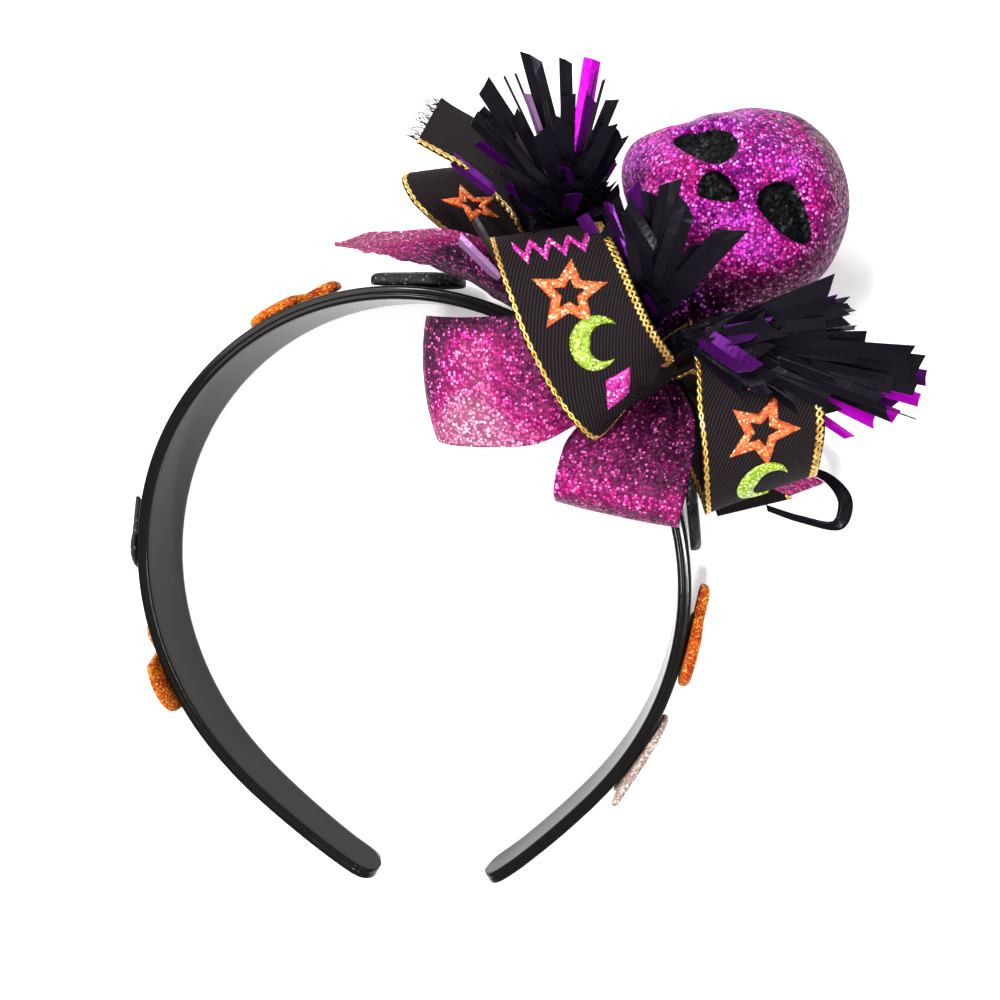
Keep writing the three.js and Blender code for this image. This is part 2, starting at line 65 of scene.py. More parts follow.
# The camera looks almost straight down. Its axes are the columns of the turn.
CAMERA_TURN = ((0.98264, 0.03533, 0.18212), (-0.05348, 0.99397, 0.09574), (-0.17764, -0.10382, 0.9786))
CAMERA_PLACE = (0.06454, 0.03912, 0.23143)
CAMERA_LENS = 34.88
SENSOR = 36.0

# Stickers: outline, share of the half arch from the apex, tilt in degrees, share of the thickness, finish.
STICKERS = (
    ("sticker_pumpkin_upper", "pumpkin", -0.122, 1, 1.0, "orange"),
    ("sticker_black_top", "cat", 0.05, -4.5, 1.15, "black"),
    ("sticker_black_left", "cat", -0.466, 0, 0.6, "black"),
    ("sticker_pumpkin_lower", "pumpkin", -0.638, 0, 0.7, "orange"),
    ("sticker_black_right", "cat", 0.458, 7, 1.0, "black"),
    ("sticker_pumpkin_right", "pumpkin", 0.604, 2, 1.0, "orange"),
    ("sticker_ghost", "ghost", 0.745, 0, 0.7, "white"),
)

# Ribbons: each row is right, up and front in bow reaches from the knot, the heading and slope of the
# ribbon's width in degrees, and the share of the width that the gathers leave.
GLITTER_RIBBONS = {
    "glitter_loop_left": (0.84, 0.62, (
        (-0.20, 0.00, 0.40, 90, 0, 0.62), (-0.44, -0.01, 0.50, 90, 0, 0.98), (-0.70, 0.00, 0.48, 90, 0, 1),
        (-0.85, 0.02, 0.41, 91, 0, 1), (-0.89, 0.03, 0.30, 92, 0, 1), (-0.84, 0.02, 0.19, 91, 0, 1),
        (-0.68, 0.01, 0.12, 90, 0, 1), (-0.44, -0.01, 0.10, 90, 0, 0.9), (-0.20, -0.02, 0.08, 90, 0, 0.5),
    )),
    "glitter_loop_low": (0.74, 0.56, (
        (-0.01, -0.16, 0.27, -14, 0, 0.76), (-0.09, -0.33, 0.37, -14, 0, 1),
        (-0.13, -0.47, 0.41, -14, 0, 1), (-0.14, -0.54, 0.35, -14, 0, 1), (-0.14, -0.56, 0.26, -14, 0, 1),
        (-0.13, -0.52, 0.15, -14, 0, 1), (-0.09, -0.41, 0.07, -14, 0, 0.95),
        (-0.04, -0.23, 0.05, -14, 0, 0.55),
    )),
    "glitter_tail_left": (0.55, None, (
        (-0.28, 0.20, 0.01, 65, 0, 0.3), (-0.52, 0.38, 0.08, 68, 30, 0.42),
        (-0.76, 0.51, 0.20, 76, 64, 0.7), (-1.04, 0.57, 0.26, 80, 70, 0.5),
        (-1.25, 0.60, 0.27, 80, 68, 0.05),
    )),
    "glitter_tail_right": (0.37, None, (
        (0.20, -0.17, -0.10, 45, 10, 0.32), (0.40, -0.37, -0.04, 40, 45, 0.38),
        (0.63, -0.51, 0.00, 30, 50, 0.42),
    )),
}
PRINT_RIBBONS = {
    "print_loop_front": (0.82, 0.985, (
        (-0.20, 0.27, 0.21, 38, 0, 0.6), (-0.31, 0.45, 0.22, 20, 0, 0.95), (-0.36, 0.55, 0.29, 5, 0, 1),
        (-0.36, 0.56, 0.39, 3, 0, 1), (-0.33, 0.50, 0.51, 3, 0, 1), (-0.28, 0.37, 0.59, 10, 0, 1),
        (-0.21, 0.18, 0.62, 24, 0, 1), (-0.14, 0.03, 0.61, 35, 0, 1), (-0.08, -0.06, 0.57, 43, 0, 1),
        (-0.05, -0.09, 0.51, 43, 0, 0.95), (-0.03, -0.06, 0.45, 43, 0, 0.6),
    )),
    "print_loop_right": (0.72, 0.66, (
        (0.21, 0.10, 0.25, -45, 0, 0.45), (0.33, 0.11, 0.38, -12, 0, 0.75), (0.39, 0.03, 0.51, 5, 0, 0.95),
        (0.40, -0.11, 0.57, 9, 0, 1), (0.41, -0.26, 0.58, 13, 0, 1), (0.41, -0.39, 0.52, 17, 0, 1),
        (0.41, -0.47, 0.42, 19, 0, 1), (0.41, -0.48, 0.31, 19, 0, 1), (0.39, -0.42, 0.21, 20, 0, 1),
        (0.32, -0.29, 0.15, 25, 0, 0.9), (0.21, -0.13, 0.13, 40, 0, 0.5),
    )),
    "print_loop_upper": (0.32, 0.11, (
        (-0.26, 0.27, -0.16, 42, -5, 0.42), (-0.44, 0.49, -0.11, 34, -15, 0.6),
        (-0.63, 0.68, 0.00, 20, -26, 0.9), (-0.75, 0.80, 0.06, 12, -30, 1), (-0.80, 0.90, 0.02, 10, -30, 1),
        (-0.79, 0.94, -0.08, 10, -30, 1), (-0.72, 0.86, -0.19, 12, -28, 1),
        (-0.56, 0.67, -0.26, 24, -15, 0.85), (-0.32, 0.36, -0.31, 42, -5, 0.45),
    )),
    "print_tail_upper": (0.45, None, (
        (-0.26, 0.31, -0.07, 42, 0, 0.36), (-0.40, 0.56, 0.02, 50, -20, 0.42),
        (-0.50, 0.76, 0.16, 66, -42, 0.62), (-0.63, 0.92, 0.27, 78, -48, 0.74),
        (-0.81, 1.04, 0.32, 78, -46, 0.78),
    )),
    "print_tail_low": (0.23, None, (
        (0.19, -0.23, -0.21, 30, 0, 0.4), (0.36, -0.43, -0.19, 20, 0, 0.65),
        (0.43, -0.60, -0.18, 12, 0, 0.74),
    )),
}
CURL_ROWS = (
    (0.46, -0.50, -0.148, 100, 0, 1), (0.60, -0.44, -0.135, 115, 0, 1), (0.72, -0.47, -0.10, 70, 0, 1),
    (0.79, -0.57, -0.06, 20, 0, 1), (0.76, -0.67, -0.06, -40, 0, 1), (0.62, -0.65, -0.11, -80, 0, 1),
    (0.48, -0.60, -0.148, -80, 0, 1),
)
# What the knot leaves of a ribbon's width, and the tension of the curve through the rows' widths.
PINCH = 0.38
SPREAD_TENSION = 0.3
# A step along a curve, as a share of it, that gives its direction.
STEP = 1e-3
# The deepest pleat, and the height of the ripples all over a ribbon.
PLEAT_LIMIT = 1.5 * MM
RIPPLE = 0.12 * MM

# Shades along the glitter ribbons: share of the length, share of the half width, spread of each, shade.
# A shade of 0 is plum in painted shade, 0.5 is hot pink in painted light and 1 is pale pink, thin glitter.
PAINTED_LIGHT_AND_THIN_GLITTER = {
    "glitter_loop_left": (
        (0.10, 0.0, 0.08, 2.0, 0.10), (0.285, 0.30, 0.05, 0.5, 0.68), (0.30, -0.88, 0.12, 0.55, 1.15),
        (0.30, 1.0, 0.30, 0.2, -0.1), (0.42, 0.3, 0.08, 0.9, 0.10), (0.21, -0.2, 0.04, 0.8, 0.28),
        (0.52, 0.0, 0.08, 2.0, 0.12), (0.65, 0.0, 0.12, 2.0, 0.25),
    ),
    "glitter_loop_low": (
        (0.08, 0.0, 0.08, 2.0, 0.05), (0.22, 0.5, 0.09, 0.6, 0.08), (0.20, -0.5, 0.10, 0.6, 0.28),
        (0.34, 0.0, 0.045, 2.0, 0.50), (0.41, 0.0, 0.03, 2.0, 0.24), (0.60, 0.0, 0.12, 2.0, 0.25),
    ),
    "glitter_tail_left": (
        (0.40, -0.4, 0.30, 0.8, -0.4), (0.60, 0.95, 0.3, 0.3, 0.7), (0.95, 0.0, 0.22, 2.0, 0.8),
    ),
    "glitter_tail_right": ((0.3, 0.0, 0.3, 2.0, 0.1), (0.9, 0.0, 0.3, 2.0, 0.6)),
}

# How far the edges of a glitter loop curl in, in mm.
BELLIES = {"glitter_loop_left": 1.5, "glitter_loop_low": 0.3}

# Where the braids start and end, as shares of the length. On a free end they run to its edge.
BRAID_START = 0.03
BRAID_END = 0.97
# Braids that aren't a narrow one on the first side and a wide one on the second: side, share of the width.
BRAIDS = {
    "print_tail_upper": ((-1, 0.8),),
    "print_tail_low": ((1, 0.8),),
}

# Loose threads at the torn end: how many, the longest and their radius.
THREADS = 38
THREAD_LENGTH = 3.8 * MM
THREAD_RADIUS = 0.09 * MM

# Motifs on the printed ribbons: shape, share of the length, share of the half width, size, turn, dye.
# A dye of 0 is magenta, 0.5 is orange and 1 is lime green.
MOTIFS = {
    "print_loop_front": (
        ("zigzag", 0.435, 0.0, 13, 90, 0.0), ("star", 0.535, -0.02, 12.5, 14, 0.5),
        ("crescent", 0.622, 0.05, 10.5, 60, 1.0), ("diamond", 0.735, -0.05, 7.5, 20, 0.0),
    ),
    "print_loop_right": (
        ("diamond", 0.30, -0.1, 6, 20, 0.0), ("star", 0.405, 0.0, 12, 8, 0.5),
        ("crescent", 0.535, 0.0, 10.5, 60, 1.0),
    ),
    "print_loop_upper": (("star", 0.36, 0.0, 10, 10, 0.5),),
}
# A motif's height at its rim, what its middle adds, and how deep its back sinks into the ribbon.
MOTIF_RIM = 0.06 * MM
MOTIF_SWELL = 0.34 * MM
MOTIF_SINK = 0.05 * MM
MOTIF_ROWS = 9
MOTIF_COLUMNS = 60

# Tinsel strips: aim and rise in degrees, length and width in mm, twist in degrees, tone.
# A tone of 0 is black, 0.25 is smoky, 0.5 is violet, 0.75 is magenta and 1 is lilac.
TINSEL_STRIPS = {
    "tinsel_upper": (
        (135, 31, 27, 2.9, 10, 0.0), (121, 29, 29, 3.3, 0, 0.0), (124, 27, 27, 1.2, 0, 0.25),
        (113, 21, 27, 0.5, 0, 0.25), (109, 23, 26, 0.5, 20, 0.25), (101, 26, 28, 3.5, 5, 0.0),
        (105, 30, 23, 1.6, 30, 1.0), (87, 21, 28, 2.4, 5, 0.0), (75, 23, 27, 3.3, 0, 0.75),
        (71, 26, 25, 0.7, 60, 0.25), (67, 27, 25, 0.7, 40, 0.25), (44, 35, 19, 3.4, 15, 0.0),
        (95, 34, 21, 1.4, 40, 0.25), (82, 32, 21, 2.8, 10, 0.0), (127, 33, 23, 2.6, 30, 0.0),
        (116, 36, 21, 2.4, 20, 0.0), (54, 33, 19, 2.8, 0, 0.0), (90, 40, 18, 3.4, 0, 0.0),
        (108, 42, 18, 3.6, 0, 0.0), (72, 30, 22, 2.4, 10, 0.5), (143, 30, 22, 2.6, 10, 0.5),
        (150, 38, 17, 2.4, 10, 0.0), (132, 22, 24, 2.0, 10, 0.0), (60, 24, 22, 2.4, 10, 0.0),
    ),
    "tinsel_front": (
        (86, 20, 23, 4.2, 0, 0.0), (68, 27, 22, 4.0, 0, 0.0), (42, 30, 23, 4.4, 0, 0.0),
        (104, 18, 22, 4.2, 20, 0.0), (107, 22, 22, 1.6, 10, 0.5), (113, 22, 20, 3.6, 0, 0.0),
        (120, 14, 22, 2.4, 0, 0.5), (95, 30, 20, 4.4, 0, 0.0), (78, 14, 18, 3.6, 0, 0.0),
        (57, 20, 12, 3.2, 0, 0.0), (50, 24, 17, 4.2, 10, 0.0), (76, 24, 24, 3.8, 10, 0.0),
    ),
    "tinsel_right": (
        (19, -3, 22, 5.0, 10, 0.0), (12, -4, 23, 3.8, 20, 0.0), (5, -6, 23, 3.4, -10, 0.0),
        (15, -6, 16, 4.6, 0, 0.0), (-6, -8, 28, 0.9, 70, 0.0), (-10, -8, 38, 4.2, 5, 0.0),
        (-13, -9, 39, 2.8, 0, 0.5), (-12, -7, 35, 4.0, 10, 0.0), (-16, -10, 37, 3.0, 10, 0.0),
        (-23, -11, 40, 0.5, 60, 0.0), (-19, -11, 38, 2.4, 0, 0.75), (-25, -12, 35, 2.4, 0, 0.0),
        (-29, -14, 34, 2.2, 10, 0.75), (-37, -16, 32, 1.8, 30, 0.75), (-2, -6, 27, 3.4, 15, 0.0),
        (-7, -4, 33, 3.0, -20, 0.0), (-15, -5, 33, 3.4, 25, 0.0), (-23, -8, 30, 3.0, 0, 0.0),
        (-17, -13, 39, 2.6, 0, 0.75), (-21, -13, 37, 3.0, 0, 0.5), (-25, -14, 37, 2.6, 0, 0.75),
        (-15, -12, 36, 2.6, 0, 0.0), (-33, -12, 27, 2.6, 10, 0.0), (3, -4, 20, 4.0, 0, 0.0),
        (-28, -9, 23, 3.2, 0, 0.0), (-21, -6, 21, 4.0, 0, 0.0),
    ),
}
# Tufts: share of the knot's height, stem, then the filler strips' aim, fan, rise, fan of rise, count and
# length, and the count, fan, length and greatest rise of the short strips that hide the stem.
TUFTS = {
    "tinsel_upper": (
        0.74, ((-0.22, 0.31, 0.10), (-0.28, 0.48, 0.10), (-0.28, 0.66, 0.26)),
        95, 90, 26, 26, 56, 18, 110, 240, 13.5, 75,
    ),
    "tinsel_right": (0.8, ((0.13, 0.12, 0.40), (0.23, 0.09, 0.66)), -14, 54, -6, 14, 56, 26, 44, 70, 15, 32),
    "tinsel_front": (0.92, ((-0.02, 0.15, 0.36), (0.02, 0.21, 0.42)), 92, 70, 18, 22, 26, 17, 34, 120, 9, 55),
}
# Single strips: the tuft they are made with, the foot in bow reaches from the knot, then the values of a
# tinsel strip.
LOOSE_STRIPS = (
    ("tinsel_upper", (-0.555, 0.40, 0.36), 132, 6, 11, 2.0, 10, 1.0),
    ("tinsel_upper", (-0.54, 0.44, 0.34), 118, 4, 11, 1.6, 10, 0.25),
    ("tinsel_upper", (-0.55, 0.72, 0.40), 138, -4, 11, 2.4, 0, 0.5),
    ("tinsel_front", (0.05, 0.42, 0.62), 120, 10, 9, 3.0, 10, 0.0),
    ("tinsel_front", (0.0, 0.50, 0.56), 95, 10, 8, 2.6, -10, 0.5),
)
STRIP_STATIONS = 9
STRIP_THICKNESS = 0.12 * MM
STRIP_CUP = 0.12
# A tuft's twisted stem: radius, how far its three lobes swing and how far they turn along it.
STEM_RADIUS = 1.35 * MM
STEM_LOBES = 0.25 * MM
STEM_TURN = 22
TUFT_SEED = 3

# The skull in cranium radii from its centre: right, up, front, then wide, tall, deep.
SKULL_LOBES = (
    (0.0, 0.0, 0.0, 0.98, 1.0, 1.0),
    (-0.22, -0.16, 0.24, 1.15, 0.60, 0.66),
    (-0.04, -0.86, 0.06, 0.72, 0.66, 0.62),
    (-0.04, -1.24, 0.02, 0.54, 0.36, 0.46),
)
# Sockets: right and up of the middle, half width, half height, slant in degrees, pinch of one end.
SKULL_SOCKETS = (
    (-0.48, 0.18, 0.40, 0.165, 7, 0.35),
    (0.65, 0.05, 0.30, 0.185, -20, -0.3),
    (0.0, -0.13, 0.23, 0.13, 4, -0.45),
)
# How sharply the lobes keep apart, and a socket's squareness and the sharpness of its rim.
LOBE_SHARPNESS = 9
SOCKET_POWER = 2.4
SOCKET_SHARPNESS = 16
# The skull lies at this heading from the knot, this many radii off it, its crown at the next heading, rolled
# to the side and lifted off the band.
SKULL_AWAY = 56.6
SKULL_REACH = 1.617
SKULL_UP = 51.5
SKULL_TURN = 18
SKULL_LIFT = 0.4 * MM

# The knot's depth away from the band, and its wrap: half sizes and squareness.
KNOT_DEPTH = 12.5 * MM
WRAP_OUT = 6.2 * MM
WRAP_ALONG = 4.4 * MM
WRAP_POWER = 0.55
WRAP_GAP = 0.2 * MM

# Stations along the band and round each tip, and points round a corner and over a face of its section.
BAND_STATIONS = 420
TIP_STATIONS = 14
CORNER_POINTS = 6
FACE_POINTS = 9
# The groove in the band's upper edge: depth, share of the wall from the outer face and spread.
GROOVE_DEPTH = 0.16 * MM
GROOVE_PLACE = 0.64
GROOVE_SPREAD = 0.1

# Pumpkin grooves and the other stickers' dents: places across, in mm.
PUMPKIN_RIBS = (-5.4, -1.9, 1.9, 5.4)
DENTS = (-3.2, 3.2)
# A puffy sticker's rings: share of the outline, share of the height.
PUFF_RINGS = (
    (0.05, 0.0), (0.5, 0.0), (0.94, 0.0), (0.985, 0.06), (1.0, 0.22), (1.0, 0.45), (0.985, 0.66),
    (0.95, 0.82), (0.89, 0.92), (0.80, 0.97), (0.66, 0.99), (0.5, 1.0), (0.34, 1.0), (0.18, 1.0), (0.05, 1.0),
)

# Sizes of the glitter's flakes, and of the twill's ribs and cross threads.
STICKER_FLAKE = 0.42 * MM
BLACK_FLAKE = 0.4 * MM
RIBBON_FLAKE = 0.58 * MM
MOTIF_FLAKE = 0.5 * MM
SKULL_FLAKE = 0.6 * MM
RIB_PITCH = 1.25 * MM
THREAD_PITCH = 0.62 * MM
# Sticker glitter besides its main colour: deep, warm and glint, the glint a painted highlight.
STICKER_GLITTER = {
    "orange": ((0.38, 0.022, 0.002), (0.80, 0.20, 0.006), (0.95, 0.45, 0.10)),
    "white": ((0.46, 0.28, 0.25), (0.66, 0.55, 0.48), (0.95, 0.80, 0.66)),
}

# Lights: place, width, length and power. Each one looks at the origin.
LIGHTS = (
    ("key_light", (-0.32, 0.3, 0.62), 0.5, 0.5, 5.3),
    ("fill_light", (0.45, -0.25, 0.6), 0.8, 0.8, 1.3),
    ("spark_light", (-0.1, 0.2, 0.5), 0.04, 0.04, 1.0),
    ("streak_light", (0.0722, -0.146, 0.50), 0.022, 0.11, 1.5),
)
FLOOR_HALF = 12.0


def measure(title, text, value):
    """A length property in metres."""
    return FloatProperty(name=title, description=text, default=value, unit="LENGTH")


def colour(title, text, value):
    """A colour property in linear light."""
    return FloatVectorProperty(name=title, description=text, default=value, subtype="COLOR", min=0, max=1)


class HeadbandSizes(bpy.types.PropertyGroup):
    """Sizes of the band and of what is glued to it."""

    arch_radius: measure("Arch radius", "Radius at the apex", 0.0661)
    band_thickness: measure("Thickness", "Wall of the band", 0.003)
    band_width: measure("Width", "Width at the apex", BAND_HIGH.z)
    tip_width: measure("Tip width", "Width at the tips", 0.010)
    band_edge: measure("Edge", "Rounding of the edges", 0.0006)
    sticker_thickness: measure("Sticker", "Height of a sticker", 0.0026)
    clearance: measure("Clearance", "Gap between pieces", 0.0003)


class BowSizes(bpy.types.PropertyGroup):
    """Sizes of the ribbons, the tinsel and the skull."""

    bow_at: measure("Bow place", "Distance from the apex", 0.0628)
    reach: measure("Reach", "Scale of the bow's loops", 0.050)
    glitter_width: measure("Glitter ribbon", "Width of the glitter ribbon", 0.025)
    print_width: measure("Printed ribbon", "Width of the printed ribbon", 0.022)
    ribbon_thickness: measure("Ribbon", "Thickness of both ribbons", 0.0004)
    curl_width: measure("Curl strip", "Width of the curling strip", 0.0032)
    braid_pitch: measure("Braid pitch", "Length of a braid link", 0.0030)
    braid_swing: measure("Braid swing", "Half width of the braid", 0.00052)
    braid_wire: measure("Braid wire", "Radius of a strand", 0.00040)
    cranium: measure("Cranium", "Radius of the skull", 0.020)
    socket_depth: measure("Socket", "Depth of the eyes", 0.0026)


class FinishColours(bpy.types.PropertyGroup):
    """Colours of the finishes."""

    plastic: colour("Plastic", "Glossy band", (0.004, 0.0034, 0.003))
    orange: colour("Orange", "Orange sticker glitter", (0.66, 0.095, 0.003))
    black: colour("Black", "Black sticker glitter", (0.010, 0.009, 0.011))
    white: colour("White", "Pale sticker glitter", (0.50, 0.36, 0.30))
    plum: colour("Plum", "Glitter in the shade", (0.040, 0.004, 0.026))
    pink: colour("Hot pink", "Glitter in the light", (0.44, 0.006, 0.15))
    pale: colour("Pale pink", "Thin glitter", (0.58, 0.18, 0.32))
    twill: colour("Twill", "Printed ribbon", (0.009, 0.0055, 0.0068))
    gold: colour("Gold", "Braid on the printed ribbon", (0.78, 0.46, 0.10))
    violet: colour("Violet", "Violet foil", (0.045, 0.002, 0.075))
    magenta: colour("Magenta", "Magenta foil", (0.34, 0.0, 0.36))
    green: colour("Lime green", "Green motifs", (0.34, 0.56, 0.02))


def unit(vectors):
    """Each vector over its length."""
    return vectors / np.maximum(np.linalg.norm(vectors, axis=-1, keepdims=True), 1e-12)


def arch(sizes, distance):
    """The band's outer face at signed distances from its apex.

    The face is a chain of arcs, so a point is the start of its arc plus the arc's radius times the change of
    the sine and cosine of the turn. The width falls evenly with the height over the tips.
    """
    radius = np.array([share for share, _ in ARCH_ARCS]) * sizes.arch_radius
    turn = np.radians([degrees for _, degrees in ARCH_ARCS])
    start = np.concatenate([[0], np.cumsum(radius * turn)])
    angle = np.concatenate([[0], np.cumsum(turn)])
    corner_x = np.concatenate([[0], np.cumsum(radius * np.diff(np.sin(angle)))])
    corner_y = np.concatenate([[0], np.cumsum(radius * np.diff(np.cos(angle)))])
    square = np.minimum(angle, np.pi / 2)
    apex_y = -np.sum(radius * np.diff(np.cos(square)))
    distance = np.asarray(distance, float)
    side = np.where(distance < 0, -1.0, 1.0)
    far = np.abs(distance)
    arc = np.clip(np.searchsorted(start, far, side="right") - 1, 0, len(radius) - 1)
    here = angle[arc] + (far - start[arc]) / radius[arc]
    x = corner_x[arc] + radius[arc] * (np.sin(here) - np.sin(angle[arc]))
    y = apex_y + corner_y[arc] + radius[arc] * (np.cos(here) - np.cos(angle[arc]))
    zero = np.zeros_like(x)
    tip_y = apex_y + corner_y[-1]
    taper = (sizes.band_width - sizes.tip_width) / (apex_y - tip_y)
    lean = np.arctan2(taper / 2, 1)
    return {
        "point": np.stack([side * x, y, zero], -1),
        "tangent": np.stack([np.cos(here), -side * np.sin(here), zero], -1),
        "normal": np.stack([side * np.sin(here), np.cos(here), zero], -1),
        "width": sizes.tip_width + taper * (y - tip_y),
        "across": np.array([0.0, -np.sin(lean), np.cos(lean)]),
        "half_length": start[-1],
    }


def smooth(rows, share, tension=None):
    """A spline through rows at shares of the way: centripetal Catmull-Rom, or uniform with a tension."""
    padded = np.vstack([2 * rows[0] - rows[1], rows, 2 * rows[-1] - rows[-2]])
    place = np.clip(share, 0, 1) * (len(rows) - 1)
    span = np.minimum(place.astype(int), len(rows) - 2)
    w = (place - span)[..., None]
    a, b, c, d = (padded[span + step] for step in range(4))
    if tension is None:
        pairs = ((a, b), (b, c), (c, d))
        ab, bc, cd = (np.sqrt(np.linalg.norm(q - p, axis=-1, keepdims=True)) for p, q in pairs)
        leave = ((b - a) / ab - (c - a) / (ab + bc) + (c - b) / bc) * bc
        reach = ((c - b) / bc - (d - b) / (bc + cd) + (d - c) / cd) * bc
    else:
        leave = tension * (c - a)
        reach = tension * (d - b)
    return b + leave * w + (3 * (c - b) - 2 * leave - reach) * w**2 + (2 * (b - c) + leave + reach) * w**3


def heading_of(rows, share):
    """The spline's direction at shares of the way, from a short step to each side."""
    return unit(smooth(rows, share + STEP) - smooth(rows, share - STEP))


def grid_faces(rows, columns, wrap, first):
    """Quads of a grid of vertices, closed across its columns when wrap is set."""
    row = np.arange(rows - 1)[:, None]
    column = np.arange(columns if wrap else columns - 1)[None, :]
    after = (column + 1) % columns
    here, next_row = row * columns, (row + 1) * columns
    corners = np.broadcast_arrays(here + column, here + after, next_row + after, next_row + column)
    return first + np.stack(corners, -1).reshape(-1, 4)


class Skin:
    """Collects grids of points into one mesh, with a map and numbers for each vertex."""

    def __init__(self):
        self.points = []
        self.faces = []
        self.maps = []
        self.marks = {}
        self.count = 0

    def add(self, points, wrap=False, cap=False, chart=None, **marks):
        """Adds a grid of rows by columns. With cap, its first and last rows are closed by flat faces."""
        rows, columns = points.shape[:2]
        flat = points.reshape(-1, 3)
        quads = grid_faces(rows, columns, wrap, self.count)
        caps = []
        if cap:
            ring = np.arange(columns)
            caps = [(self.count + ring[::-1]).tolist(), (self.count + (rows - 1) * columns + ring).tolist()]
        if wrap and self.volume(flat, quads - self.count, caps) < 0:
            quads = quads[:, ::-1]
            caps = [face[::-1] for face in caps]
        self.points.append(flat)
        self.faces += quads.tolist() + caps
        self.maps.append(np.zeros((len(flat), 2)) if chart is None else chart.reshape(-1, 2))
        for name, values in marks.items():
            full = np.broadcast_to(np.asarray(values, float), points.shape[:2]).reshape(-1)
            self.marks.setdefault(name, []).append(full)
        self.count += len(flat)

    def volume(self, flat, quads, caps):
        """Six times the signed volume, from the origin to each face."""
        a, b, c, d = (flat[quads[:, k]] for k in range(4))
        total = np.sum(np.einsum("ij,ij->i", a, np.cross(b, c)) + np.einsum("ij,ij->i", a, np.cross(c, d)))
        for face in caps:
            ring = flat[np.array(face) - self.count]
            total += np.sum(np.cross(ring[1:-1], ring[2:]) @ ring[0])
        return total

    def build(self, name, material, slot, *nodes, rounded=True):
        """Makes the object, gives it its finish, and has it ride on the part in place of the named nodes."""
        mesh = bpy.data.meshes.new(name)
        mesh.from_pydata(np.vstack(self.points).tolist(), [], self.faces)
        mesh.polygons.foreach_set("use_smooth", [rounded] * len(mesh.polygons))
        corner = np.zeros(len(mesh.loops), int)
        mesh.loops.foreach_get("vertex_index", corner)
        layer = mesh.uv_layers.new(name="UVMap")
        layer.data.foreach_set("uv", np.vstack(self.maps)[corner].reshape(-1))
        for mark, values in self.marks.items():
            mesh.attributes.new(mark, "FLOAT", "POINT").data.foreach_set("value", np.concatenate(values))
        mesh.update()
        piece = bpy.data.objects.new(name, mesh)
        bpy.context.scene.collection.objects.link(piece)
        piece.data.materials.append(material)
        if nodes:
            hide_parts(*nodes)
        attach(piece, "root")
        return piece


def solidify(piece, thickness):
    """Gives a sheet its wall, half to each side."""
    wall = piece.modifiers.new("Wall", "SOLIDIFY")
    wall.thickness = thickness
    wall.offset = 0


